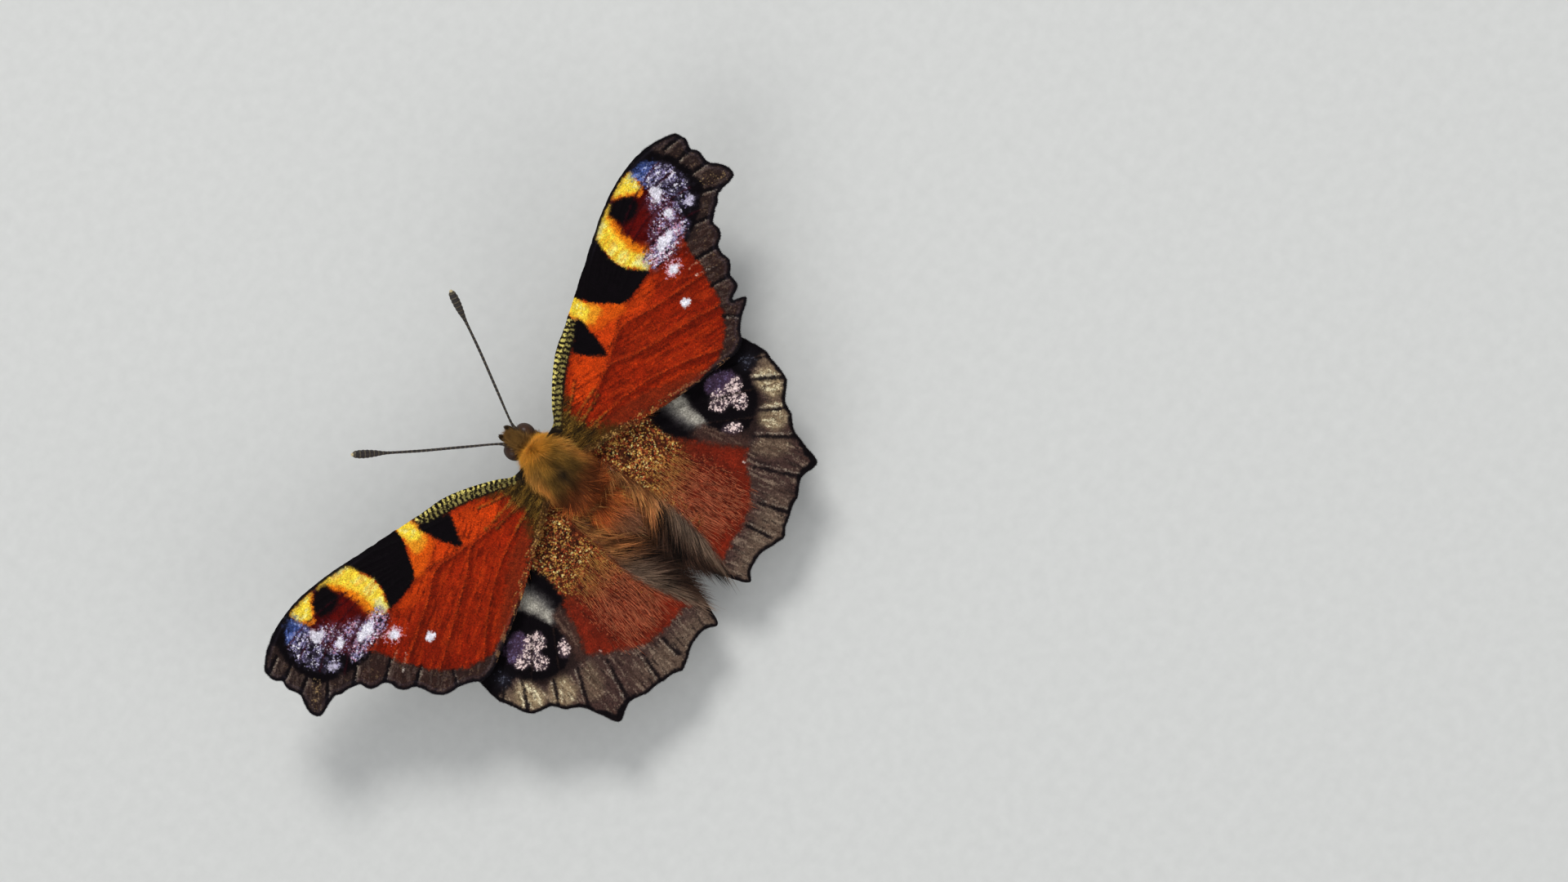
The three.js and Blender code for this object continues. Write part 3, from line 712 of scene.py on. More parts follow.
def root_of(vein, surface):
    """Where a vein starts, a little inside the thorax."""
    (_, cy, cz), (hx, hy, hz) = THORAX["centre"], THORAX["half"]
    y, power = vein.root, THORAX["power"]
    z = float(surface((2.5, y)))
    rest = max(1 - abs((y - cy) / hy) ** power - abs((z - cz) / hz) ** power, 0.05)
    return hx * rest ** (1 / power) + 0.3 - ROOT_DEPTH, y, 0


class WingShape:
    """One wing laid flat: its outline, crests and folds, and how high each place lies. Rows of crests and
    folds are (x, y, height above the wing's own surface)."""

    def __init__(self, veins, surface, changes, seed):
        veins = [v._replace(**changes.get(v.name, {})) for v in veins]
        self.surface = surface
        self.noise = Noise(seed)
        self.crests = [self.crest(v) for v in veins]
        self.folds = [self.fold(i, veins) for i in range(len(veins) - 1)]
        self.rises = [v.rise for v in veins]
        margin = [veins[0].notch]
        for v in veins[1:-1]:
            margin += [*v.tooth, v.notch]
        front, back = self.crests[0][:, :2], self.crests[-1][::-1, :2]
        around = smooth_path([front[-2], front[-1], *margin, back[0], back[1]], 10)[10:-10]
        around = spaced(np.vstack([front[:-1], around, back[1:]]), MARGIN_STEP)
        way = unit(np.gradient(around, axis=0))
        out = np.column_stack([way[:, 1], -way[:, 0]])
        outer = ramp(around[:, 0] + around[:, 1] * 0.3, 4, 8)[:, None]
        rough = self.noise.rough(around / 0.5)[:, None] * 0.05
        self.outline = around + out * rough * outer

    def crest(self, vein):
        path = [(*p, 0) if len(p) == 2 else p for p in vein.path]
        end = vein.tooth[len(vein.tooth) // 2]
        return spaced(smooth_path([root_of(vein, self.surface), *path, (*end, path[-1][2])]), VEIN_STEP)

    def fold(self, i, veins):
        a, b = evenly(self.crests[i], 60), evenly(self.crests[i + 1], 60)
        middle, t = (a + b) / 2, np.linspace(0, 1, 60)
        shift = np.array(veins[i].notch) - middle[-1, :2]
        middle[:, :2] += t[:, None] ** 4 * shift
        apart = np.linalg.norm(a - b, axis=1)
        start = max(veins[i].rise, veins[i + 1].rise, 3)
        depth = np.minimum(PLEAT_DEPTH, PLEAT_SHARE * apart) * ramp(middle[:, 0], start, start + VEIN_RUN)
        return middle - np.column_stack([depth * 0, depth * 0, depth])

    def heights(self, points, triangles, margin_gap):
        """How high the upper side lies: coarse folds, made smooth, then the veins and a slight wave."""
        rows = np.vstack([c[::6] for c in self.crests] + [c[-1:] for c in self.crests] + self.folds)
        flat = geometry.delaunay_2d_cdt([Vector(r[:2]) for r in rows], [], [], 0, 1e-4)
        source = [rows[known[0]][2] if known else 0 for known in flat[3]]
        sheet = BVHTree.FromPolygons([(v.x, v.y, z) for v, z in zip(flat[0], source)], flat[2])
        level = np.zeros(len(points))
        for i, (x, y) in enumerate(points):
            level[i] = height_at(sheet, x, y)
        ends = np.vstack([triangles[:, [0, 1]], triangles[:, [1, 2]], triangles[:, [2, 0]]])
        count = np.bincount(ends.ravel(), minlength=len(points))
        for _ in range(SMOOTHING_ROUNDS):
            total = np.bincount(ends[:, 0], level[ends[:, 1]], len(points))
            total += np.bincount(ends[:, 1], level[ends[:, 0]], len(points))
            level = total / np.maximum(count, 1)
        lines = np.vstack(self.crests)
        starts = np.concatenate([np.full(len(c), r) for c, r in zip(self.crests, self.rises)])
        closest, away = nearest(lines[:, :2], points)
        risen = ramp(points[:, 0], starts[closest], starts[closest] + VEIN_RUN)
        self.vein_gap = away
        ridge = RIDGE_HEIGHT * np.exp(-((away / RIDGE_WIDTH) ** 2)) * risen
        wave = WAVE_HEIGHT * self.noise.rough(points / 3.1 + 5)
        wave = wave + RIPPLE_HEIGHT * self.noise.rough(points / 0.35 + 9)
        settle = ramp(margin_gap, 0.0, 1.2)
        return self.surface(points) + level + ridge * (0.4 + 0.6 * settle) + wave * ramp(points[:, 0], 3, 7)


def height_at(sheet, x, y):
    """Height of a surface over (x, y), or of its nearest place where it has none there."""
    return (sheet.ray_cast((x, y, ABOVE_ALL), (0, 0, -1))[0] or sheet.find_nearest((x, y, 0))[0]).z


def sheet_points(outline, spacing, rng):
    """Points and triangles that fill an outline. Its own points come first."""
    low, high = outline.min(0), outline.max(0)
    rows = int((high[1] - low[1]) / (spacing * ROW_HEIGHT)) + 1
    columns = int((high[0] - low[0]) / spacing) + 1
    lattice = np.array([(low[0] + (i + 0.5 * (j % 2)) * spacing, low[1] + j * spacing * ROW_HEIGHT)
                        for j in range(rows) for i in range(columns)])
    lattice += rng.uniform(-0.16, 0.16, lattice.shape) * spacing
    lattice = lattice[holds(outline, lattice)]
    lattice = lattice[nearest(outline, lattice)[1] > spacing * 0.6]
    count = len(outline)
    edges = [(i, (i + 1) % count) for i in range(count)]
    cut = geometry.delaunay_2d_cdt([Vector(p) for p in np.vstack([outline, lattice])], edges, [], 1, 1e-5)
    points, triangles = np.array([(v.x, v.y) for v in cut[0]]), np.array(cut[2])
    if len(points) != count + len(lattice) or np.abs(points[:count] - outline).max() > 1e-4:
        raise RuntimeError("The outline crosses itself")
    a, b, c = (points[triangles[:, k]] for k in range(3))
    turned = (b[:, 0] - a[:, 0]) * (c[:, 1] - a[:, 1]) < (b[:, 1] - a[:, 1]) * (c[:, 0] - a[:, 0])
    triangles[turned] = triangles[turned][:, ::-1]
    return points, triangles


def wing_mesh(name, shape, spacing, thickness, paint, side, seed):
    """A thin closed wing in the row frame: a fine upper side and a coarser under side, which meet at the
    margin. side is 1 for left, -1 for right."""
    rng = np.random.default_rng(seed)
    outline = shape.outline
    count = len(outline)
    points, triangles = sheet_points(outline, spacing, rng)
    below, under = sheet_points(outline, spacing * UNDER_COARSENESS, rng)
    gap, gap_below = nearest(outline, points)[1], nearest(outline, below)[1]
    upper = shape.heights(points, triangles, gap)
    solid = np.column_stack([points, upper])
    sheet = BVHTree.FromPolygons(solid.tolist(), triangles.tolist())
    lower = np.array([height_at(sheet, x, y) for x, y in below])
    lower[:count] = upper[:count]
    lower -= thickness * (EDGE_THICKNESS + (1 - EDGE_THICKNESS) * ramp(gap_below, 0, 0.8))
    start = len(points)
    faces = [tuple(t) for t in triangles]
    faces += [(t[2] + start, t[1] + start, t[0] + start) for t in under]
    for p in range(count):
        q = (p + 1) % count
        faces += [(q, p, p + start), (q, p + start, q + start)]
    solid, faces = on_side(side, np.vstack([solid, np.column_stack([below, lower])]), faces)
    mesh = new_mesh(name, in_row(solid), faces)
    bake_map(mesh, np.vstack([wing_map(shape, points, 0), wing_map(shape, below, 1)]))
    above = paint(points, shape, gap, rng)
    shape.vein_gap = nearest(np.vstack(shape.crests)[:, :2], below)[1]
    set_colour(mesh, "pigment", np.vstack([above, under_colours(below, shape, gap_below, rng)]))
    set_values(mesh, "upper", "FLOAT", np.repeat([1.0, 0.0], [start, len(below)]))
    return mesh


def wing_map(shape, places, island):
    """Where places lie on a wing's map: its upper side is island 0 and its under side island 1."""
    low, high = shape.outline.min(0), shape.outline.max(0)
    wide, tall = high - low + 1.5
    step = np.array((wide, 0) if tall > wide else (0, tall))
    scale = 1 / max(wide + step[0], tall + step[1])
    return (places - low + 0.75 + step * island) * scale


# Markings. Each is laid where it lies on the left wings, and edges are broken up as scales break them.


class Canvas:
    """Colours for a set of places, painted one shape over another."""

    def __init__(self, points, ground, rng, jitter=0.045):
        self.points = points
        self.rng = rng
        self.noise = Noise(rng.integers(1 << 30))
        self.places = points + rng.normal(0, jitter, points.shape)
        self.colours = np.tile(np.asarray(ground, float), (len(points), 1))

    def lay(self, colour, share, only=slice(None)):
        self.colours[only] = toned(self.colours[only], colour, share)

    def near(self, shape, margin):
        low, high = shape.min(0) - margin, shape.max(0) + margin
        return np.flatnonzero(((self.places > low) & (self.places < high)).all(1))

    def patch(self, corners, colour, soft=0.25, ragged=0.12, share=1.0, grain=0.32):
        """A smooth closed shape through its corners."""
        shape = blob(corners)
        only = self.near(shape, soft + ragged)
        places = self.places[only]
        away = outside(shape, places) + self.noise.rough(places / grain) * ragged * 2
        self.lay(colour, share * (1 - ramp(away, -soft / 2, soft / 2)), only)

    def stroke(self, line, colour, width, soft=0.15, ragged=0.04, share=1.0, curve=True):
        """A line of a given width. It can also be two widths, from start to end."""
        path = smooth_path(line, 6) if curve and len(line) > 2 else np.asarray(line, float)
        path = spaced(path, 0.35)
        stops = np.linspace(0, 1, np.size(width))
        widths = np.interp(np.linspace(0, 1, len(path)), stops, np.atleast_1d(width))
        only = self.near(path, widths.max() + soft)
        places = self.places[only]
        away = line_distance(places, path, widths) + self.noise.rough(places / 0.3 + 31) * ragged * 2
        self.lay(colour, share * (1 - ramp(away, -soft / 2, soft / 2)), only)

    def spot(self, centre, radius, colour, soft=0.25, ragged=0.1, share=1.0):
        away = np.linalg.norm((self.places - centre) / radius, axis=1) * np.mean(radius) - np.mean(radius)
        away = away + self.noise.rough(self.places / 0.3 + 7) * ragged * 2
        self.lay(colour, share * (1 - ramp(away, -soft / 2, soft / 2)))

    def specks(self, colour, where, amount, size=0.13, share=0.85, seed=0):
        """Single scales of another colour, strewn where a field from 0 to 1 lets them."""
        value = self.noise.at(self.places / size + 53.7 + 11 * seed) * 0.5 + 0.5
        cut = 1 - amount * np.clip(where, 0, 1)
        self.lay(colour, share * ramp(value, cut, cut + 0.12))

    def streaks(self, colour, where, amount, way, long=1.6, thin=0.12, share=0.7, seed=0):
        """Fine hairs or rows of scales that run along a direction."""
        way = np.asarray(way, float) / np.linalg.norm(way)
        along, across = self.places @ way, self.places @ (-way[1], way[0])
        value = self.noise.at(np.column_stack([along / long, across / thin]) + 29.1 + 5 * seed) * 0.5 + 0.5
        cut = 1 - amount * np.clip(where, 0, 1)
        self.lay(colour, share * ramp(value, cut, cut + 0.2))

    def vary(self, amount, size, seed=0):
        """Lighter and darker clouds."""
        self.colours *= 1 + amount * self.noise.rough(self.points / size + 71 + seed)[:, None]

    def finished(self):
        own = self.rng.normal(1, 0.07, (len(self.points), 1))
        return np.clip(self.colours * own, 0.004, 1)


def inside_share(canvas, corners, soft=0.6):
    return 1 - ramp(outside(blob(corners), canvas.places), -soft / 2, soft / 2)


BLACK = rgb(9, 5, 8)
DARK_RED = rgb(84, 16, 5)
PALE_YELLOW = rgb(255, 246, 160)
WHITE = rgb(238, 234, 244)
MAROON = rgb(62, 4, 4)


def forewing_colours(points, shape, gap, rng):
    """The upper side of a forewing."""
    chosen = bpy.context.scene.peacock_wings
    tones = (chosen.red, chosen.yellow, chosen.border, chosen.blue)
    red, yellow, brown, blue_tone = (np.array(tone[:]) for tone in tones)
    c = Canvas(points, red, rng)
    x, y = c.places.T
    crest = {v.name: line[:, :2] for v, line in zip(FOREWING_VEINS, shape.crests)}
    out = (1, 0.36)

    # The red field, orange by the cell and darker outwards; painted highlight before each vein, painted
    # shade behind it
    c.lay(rgb(106, 20, 6), ramp(x + 0.5 * y, 15, 24) * 0.7)
    c.patch([(5.4, -1.4), (8.4, -3.6), (12, -4.8), (15.2, -3.2), (18.6, -2.8), (17, -1.4), (13.4, -1.9),
             (11.2, -1.3), (8.6, -0.5), (6, -0.4)], rgb(200, 62, 12), 0.9, 0.15, 0.9)
    c.vary(0.13, 1.3)
    c.streaks(rgb(188, 58, 14), 1, 0.42, out, 1.4, 0.13, 0.5, 1)
    c.streaks(DARK_RED, 1, 0.36, out, 1.2, 0.11, 0.6, 2)
    for name, start in (("M3", 10), ("CuA1", 4), ("CuA2", 4), ("2A", 5)):
        vein = crest[name][crest[name][:, 0] > start][::4]
        # Painted shade just behind the vein, painted highlights just before it, then the vein's own dark
        # line
        c.stroke(vein + [-0.04, 0.26], rgb(88, 16, 5), (0.2, 0.4), 0.5, 0.06, 0.6, curve=False)
        c.stroke(vein + [0.05, -0.18], rgb(176, 52, 10), (0.1, 0.2), 0.4, 0.04, 0.4, curve=False)
        c.stroke(vein + [0.03, -0.1], rgb(220, 92, 26), 0.04, 0.1, 0.02, 0.45, curve=False)
        c.stroke(vein, rgb(70, 18, 8), 0.07, 0.1, 0.01, 0.8, curve=False)
    for a, b in (("M3", "CuA1"), ("CuA1", "CuA2"), ("CuA2", "2A")):
        middle = (evenly(crest[a], 60) + evenly(crest[b], 60))[34:] / 2
        c.stroke(middle[::3], rgb(88, 18, 6), 0.07, 0.3, 0.04, 0.4, curve=False)
    c.specks(rgb(226, 120, 60), ramp(x, 7, 12), 0.07, 0.09, 0.7, 3)
    c.patch([(5.4, 1.9), (7.4, 2.2), (9.6, 3), (12, 4.4), (14.6, 6.1), (13.6, 7), (11, 6.1), (7, 4.4),
             (5, 3.4)], rgb(108, 36, 16), 0.7, 0.2, 0.7)

    # The base: dark olive with golden rays
    c.patch([(1, -2), (4.2, -2.4), (6.2, -3.3), (5.6, -2.2), (4.6, -1.2), (4.6, 0.2), (4.6, 1), (5.2, 1.8),
             (6, 2.8), (7, 4.4), (6, 4.3), (4, 3.6), (1, 2.6)], rgb(60, 42, 14), 1.2, 0.3, 0.92)
    near_root = 1 - ramp(x + 0.3 * np.abs(y), 3.6, 5.4)
    c.lay(rgb(34, 26, 12), near_root * 0.8)
    lines = ([(2.6, -0.9), (4.4, -1.9), (6.6, -3.2), (8.6, -4.15)], [(2.6, -0.5), (4.6, -1.1), (7, -2.3)],
             [(2.8, 0), (5.2, -0.35), (8.2, -0.6)], [(2.8, 0.5), (5, 0.35), (7.4, 0.1)],
             [(2.8, 1.1), (4.6, 1.25), (6.8, 1.6)])
    # On each vein near the base, a golden line as painted highlight on its crest and a dark line just behind
    # it as painted shade
    for line in lines:
        c.stroke(line, rgb(150, 112, 40), (0.12, 0.06), 0.18, 0.04, 0.7)
        c.stroke(np.array(line) + [0, 0.18], rgb(30, 20, 10), (0.12, 0.06), 0.18, 0.04, 0.7)
    rays = 1 - ramp(x, 3.8, 7)
    c.streaks(rgb(172, 134, 56), rays, 0.4, (1, 0.1), 0.9, 0.09, 0.7, 4)
    c.streaks(rgb(26, 18, 10), rays, 0.42, (1, 0.16), 1, 0.1, 0.75, 5)

    # The costa: a dark edge, and two rows of yellow bars on a dark strip
    strip = evenly(smooth_path([(2.5, -1), (4.6, -2.55), (7.2, -4.15), (9.8, -5.2), (12.4, -6.2)]), 140)
    closest, away = nearest(strip, c.places)
    t = closest / 139
    c.lay(rgb(26, 20, 14), 1 - ramp(away, 0.62, 0.8))
    side = np.sign((c.places - strip[closest]) @ np.array([0.45, -0.9]))
    wobble = 0.14 * c.noise.rough(c.places / 0.6)
    bars = np.sin(2 * math.pi * (24 * t + wobble + 0.16 * side))
    reach = away + 0.07 * c.noise.rough(c.places / 0.16 + 4)
    bright = ramp(bars, 0, 0.35) * (1 - ramp(reach, 0.5, 0.6)) * ramp(t, 0, 0.06)
    c.lay(rgb(244, 226, 124), bright * (0.75 + 0.2 * side) * (1 - 0.5 * np.exp(-((away / 0.1) ** 2))))
    c.stroke([(2.9, -1.75), (4.2, -3), (6, -4.3), (8, -5.4), (10.2, -6.1), (12.6, -6.8)], BLACK,
             (0.36, 0.5), 0.16, 0.04)

    # The wedge in the cell and the great black patch, with yellow running into orange between them
    c.patch([(11.4, -7), (12.9, -7.4), (13.3, -5.6), (14.2, -4.3), (15.3, -3.1), (14.6, -2.5),
             (13, -3), (11.8, -3.4), (11.4, -4.4)], rgb(214, 84, 14), 0.6, 0.12, 0.95)
    c.patch([(11.5, -6.9), (12.9, -7.3), (13.1, -5.7), (13.5, -4.8), (13.4, -4.1), (12.3, -4),
             (11.5, -4.6)], rgb(238, 150, 34), 0.5, 0.12, 0.95)
    c.patch([(11.6, -6.9), (12.8, -7.3), (13, -5.8), (12.9, -5.1), (12.2, -4.7), (11.6, -5)], yellow,
            0.5, 0.12, 0.95)
    wedge = inside_share(c, [(11.6, -6.7), (12.8, -6.7), (12.8, -5.4), (11.7, -5.2)], 0.4)
    c.streaks(PALE_YELLOW, wedge, 0.45, (1, -0.35), 0.6, 0.1, 0.7, 6)
    c.patch([(8.9, -3.9), (10.2, -4.75), (11.55, -5.45), (11.4, -4), (11.1, -2.6), (10.75, -1.7),
             (10.35, -1.5), (10, -2), (9.5, -2.8)], BLACK, 0.3, 0.08)
    c.patch([(12.65, -7.4), (14.6, -8.2), (16.8, -9), (18.75, -9.6), (18.2, -8.2), (17.7, -7),
             (17.5, -5.5), (17.9, -4.2), (18.75, -3.05), (17.6, -2.85), (15.9, -2.85), (15, -3.1),
             (14.2, -4.3), (13.35, -5.5)], BLACK, 0.16, 0.06)

    # The dark outer half round the eyespot
    c.patch([(18.4, -9.7), (20.4, -9.35), (22.4, -9.25), (24.2, -9.6), (25.6, -9.45), (26.6, -8.8),
             (27.15, -7.6), (27.2, -6), (26.9, -4.6), (26, -3.6), (24.6, -2.9), (23.4, -2.5),
             (22.6, -2), (23.6, -1.5), (24.8, -1.6), (26, -1.6), (28.6, -1.5), (31, -1.6), (31.4, -8),
             (29, -11), (24, -11.4), (19, -10.6)], BLACK, 0.26, 0.1)

    # The eyespot: crescent, maroon middle, black spot and the second yellow patch
    c.patch([(24.3, -9.8), (26.4, -9.5), (27.7, -7.8), (27.7, -5.4), (26.7, -3.2), (24, -2.3),
             (22.7, -2.9), (23.4, -7)], BLACK, 0.3, 0.1)
    c.patch([(19.6, -9), (22.4, -9.2), (24, -8.6), (24.6, -7.4), (24.9, -6), (24.7, -4.6),
             (23.8, -3.2), (22.2, -2.5), (19.8, -2.7), (19.2, -4.6), (19.2, -6.6)], MAROON, 0.7, 0.1)
    c.patch([(20.4, -6.9), (22.6, -7), (23.4, -6.2), (22.4, -5.5), (20.6, -5.2), (19.9, -6)],
            rgb(92, 12, 8), 0.8, 0.15, 0.8)
    c.patch([(18.3, -9.2), (19.8, -9.35), (20.6, -9.1), (20.5, -8.2), (20.1, -7), (20.1, -5.8),
             (20.5, -4.6), (20.6, -3.8), (19.6, -3.2), (19.1, -3.3), (18.5, -4.1), (18, -5.5),
             (18.1, -7.2)], rgb(130, 36, 6), 0.7, 0.12)
    c.patch([(18.8, -9.1), (19.9, -9.3), (20.5, -8.6), (20.2, -7.4), (19.95, -6.2), (20, -5),
             (20.2, -4.2), (19.6, -3.3), (19.1, -3.3), (18.5, -4.1), (18, -5.5), (18.1, -7.2)],
            rgb(232, 128, 20), 0.6, 0.1)
    c.patch([(18.3, -9.1), (20, -9.3), (20.2, -8.7), (19.65, -7.6), (19.3, -6.3), (19.3, -4.9),
             (19.6, -4), (19.3, -3.3), (18.8, -3.2), (18.1, -4.1), (17.6, -5.5), (17.75, -7.2)], yellow,
            0.45, 0.1)
    pale = (([(18.2, -9), (19.8, -9.2), (19.6, -8.5), (18.2, -8.2)], 0.7),
            ([(17.8, -6.9), (18.8, -7), (18.7, -6.4), (17.7, -6.3)], 0.55),
            ([(17.6, -5.7), (18.8, -5.8), (18.9, -5.3), (17.8, -5)], 0.55),
            ([(18.2, -4.3), (19.2, -4.4), (19.5, -3.6), (18.8, -3.3)], 0.85))
    for corners, share in pale:
        c.patch(corners, PALE_YELLOW, 0.4, 0.12, share)
    c.patch([(19.4, -9.35), (20.6, -9.4), (21.4, -9.1), (20.6, -8.8), (19.6, -8.8)], yellow, 0.3, 0.12, 0.85)
    crescent = inside_share(c, [(18.3, -9), (20.4, -9.1), (19.8, -7), (19.6, -5), (19.6, -3.4),
                                (18, -4.2), (17.6, -6)], 0.4)
    c.streaks(rgb(236, 156, 34), crescent, 0.4, (1, 0.05), 0.9, 0.12, 0.5, 7)
    c.patch([(20.5, -8.7), (21.6, -9), (22.9, -8.4), (22.9, -7.4), (21.8, -6.9), (20.6, -7.2)], BLACK,
            0.5, 0.08)
    c.patch([(21.6, -9.35), (23, -9.75), (24.5, -9.6), (24.6, -8.4), (24.1, -7.6), (23.4, -7.6),
             (22.8, -8.4)], rgb(222, 120, 24), 0.3, 0.14, 0.95)
    c.patch([(21.8, -9.3), (23, -9.7), (24.4, -9.6), (24.4, -8.6), (23.9, -8), (23.2, -8.3),
             (22.6, -8.9)], yellow, 0.3, 0.12)
    second = inside_share(c, [(22, -9.4), (24.4, -9.5), (24.2, -8.2), (23.2, -8.6)], 0.3)
    c.streaks(PALE_YELLOW, second, 0.45, (1, -0.1), 0.6, 0.1, 0.7, 8)
    c.stroke([(23, -9.75), (24.2, -9.95), (25.4, -9.85)], rgb(200, 190, 150), 0.1, 0.1, 0.03, 0.6)
    c.stroke([(21.4, -9.15), (21.7, -8.7)], BLACK, 0.2, 0.2, 0.05, 0.8)

    # Its blue, lilac, pink and white scales, strewn and in streaks over black and maroon
    blue = [(24.3, -9.1), (25, -9.4), (26, -9.1), (26.6, -8.2), (26, -7.4), (25.2, -7.6), (24.3, -7.6)]
    c.patch(blue, blue_tone, 0.7, 0.25, 0.75)
    share = inside_share(c, blue, 0.8)
    c.streaks(rgb(18, 16, 40), share, 0.5, (0.8, 0.5), 0.5, 0.12, 0.7, 15)
    c.streaks(rgb(94, 116, 188), share, 0.6, (0.8, 0.5), 0.5, 0.1, 0.85, 16)
    c.streaks(rgb(190, 200, 236), share, 0.3, (0.8, 0.5), 0.4, 0.09, 0.9, 17)
    clouds = (([(24.5, -8), (25.6, -8.3), (26.7, -8.1), (27.1, -7.2), (27.1, -6.1), (26.2, -6),
                (25.4, -6.5), (24.6, -7.1)], 1),
              ([(23.2, -6.8), (24.4, -7.2), (25.6, -6.4), (25.9, -5.5), (24.6, -5.2), (23.2, -5.4),
                (22.6, -6)], 0.8),
              ([(25.8, -5.9), (27.1, -5.8), (27, -4.9), (26.3, -4.3), (25.5, -4.7)], 0.75),
              ([(21.6, -5.2), (23.4, -5.4), (25, -5), (25.4, -4.2), (24, -3.8), (22, -4.1),
                (20.9, -4.6)], 0.8),
              ([(24.8, -4.2), (26.2, -4.3), (26.3, -3.7), (25.2, -3.4)], 0.8),
              ([(19, -3.9), (20.6, -4.2), (22.8, -4), (24.2, -3.5), (24.4, -2.8), (22.4, -2.3),
                (20.4, -2.2), (19, -2.9)], 1))
    for corners, strength in clouds:
        c.patch(corners, rgb(104, 96, 128), 0.9, 0.3, 0.45 * strength)
        share = inside_share(c, corners, 1) * strength
        c.streaks(rgb(24, 10, 24), share, 0.5, (1, 0.3), 0.7, 0.13, 0.8, 11)
        c.specks(rgb(162, 152, 194), share, 0.55, 0.12, 0.8, 9)
        c.specks(rgb(250, 244, 255), share, 0.3, 0.1, 0.9, 13)
        c.streaks(rgb(250, 244, 255), share, 0.34, (1, 0.25), 0.5, 0.1, 0.9, 13)
        c.streaks(rgb(16, 8, 20), share, 0.36, (1, 0.3), 0.7, 0.11, 0.8, 21)
        c.specks(rgb(214, 150, 172), share * ramp(26.4 - x, 0, 3), 0.36, 0.1, 0.8, 10)
    for name in ("M2", "M1", "R5", "R4"):
        vein = crest[name][(crest[name][:, 0] > 19.8) & (crest[name][:, 0] < 27)][::4]
        c.stroke(vein, rgb(44, 6, 14), 0.13, 0.14, 0.03, 0.8, curve=False)
    c.patch([(24.2, -7.3), (24.8, -7.2), (25.1, -6.6), (24.8, -6.1), (24.1, -6), (23.9, -6.5)], WHITE,
            0.3, 0.16, 0.92)
    c.patch([(23.4, -5), (24.1, -5), (24.3, -4.6), (23.9, -4.3), (23.4, -4.4)], WHITE, 0.25, 0.12, 0.95)
    c.patch([(20.8, -3.7), (21.8, -3.9), (22.7, -3.6), (22.5, -3.2), (21.4, -3), (20.7, -3.2)], WHITE,
            0.3, 0.14, 0.95)
    c.patch([(25.3, -4.05), (26.2, -4.2), (26.3, -3.8), (25.4, -3.6)], rgb(214, 206, 226), 0.25, 0.16, 0.8)

    # White dots on the red
    near_dot = np.exp(-((np.hypot((x - 20.25) / 1.1, (y + 1.4) / 0.8)) ** 2))
    c.specks(rgb(226, 170, 190), near_dot, 0.75, 0.12, 0.85, 12)
    c.spot((20.2, -1.4), (0.46, 0.4), WHITE, 0.3, 0.14)
    c.spot((18.45, 1.33), (0.44, 0.42), WHITE, 0.16, 0.08)

    # The border
    edge = [(22.7, -1.9), (22.2, -0.9), (21.9, 0.2), (21.5, 1.2), (21.1, 2.2), (20.5, 3.4), (19.8, 4.4),
            (19, 5.2), (18.1, 5.9), (16.4, 6.5), (14.4, 6.5), (14.2, 7.4), (17, 8.2), (20, 7.4),
            (23, 5.6), (24.8, 3.2), (26, 0.6), (28.4, -1.2), (31, -2), (31, -9), (28.6, -10.6),
            (27.4, -9.2), (27.9, -7.6), (28, -5.6), (27.6, -3.9), (26.2, -3), (24.4, -2.2)]
    c.patch(edge, brown, 0.4, 0.12, 0.95)
    border = inside_share(c, edge, 0.5)
    c.streaks(rgb(98, 82, 74), border, 0.45, (1, 0.5), 0.7, 0.1, 0.5, 12)
    c.specks(rgb(122, 98, 70), border, 0.2, 0.1, 0.6, 4)
    folds = (((28, -8.4), (29.8, -8)), ((27.9, -6.9), (29.4, -6.6)), ((27.8, -5.2), (29.5, -4.7)),
             ((27, -3.5), (28.6, -2.3)), ((24.3, -2.4), (26.1, -1.4)), ((22.2, -0.3), (24.3, 0.6)),
             ((21.1, 2.2), (22.9, 3)), ((19.6, 4.7), (20.5, 6)))
    # At each fold a dark bar, painted shadow, and pale lines just behind it, painted highlight where the
    # vein's crest catches the light
    for start, end in folds:
        start, end = np.array(start), np.array(end)
        c.stroke([start, end], BLACK, (0.3, 0.5), 0.22, 0.06, 0.92)
        c.stroke([start + [0.1, 0.34], end + [0.1, 0.36]], rgb(124, 104, 92), (0.16, 0.1), 0.2, 0.04, 0.55)
        c.stroke([start + [0.05, 0.24], end + [0.05, 0.26]], rgb(196, 182, 160), 0.05, 0.09, 0.02, 0.55)
    c.stroke([(20.9, 0.5), (21.6, 0.9), (22.4, 1.3)], rgb(226, 214, 200), 0.06, 0.1, 0.02, 0.8)
    c.stroke([(21, -0.3), (21.7, -0.15), (22.3, 0.2)], rgb(214, 170, 140), 0.05, 0.1, 0.03, 0.6)
    tooth = np.exp(-((line_distance(c.places, np.array([(27.9, -4.1), (29.4, -2.9)])) / 0.5) ** 2))
    c.specks(rgb(170, 140, 96), tooth, 0.4, 0.1, 0.7, 13)
    for name in ("CuA1", "CuA2", "M3", "M2", "M1", "R5", "R4"):
        vein = crest[name][-28:][::4]
        c.stroke(vein, rgb(28, 20, 22), 0.09, 0.12, 0.03, 0.6, curve=False)

    # The margin's black edge
    outer = ramp(points[:, 0] + 0.4 * points[:, 1], 12, 15)
    c.lay(rgb(12, 9, 14), (1 - ramp(gap + 0.1 * c.noise.rough(points / 0.3), 0.14, 0.36)) * outer * 0.92)
    c.lay(rgb(72, 66, 84), np.exp(-(((gap - 0.42) / 0.1) ** 2)) * outer * 0.25)

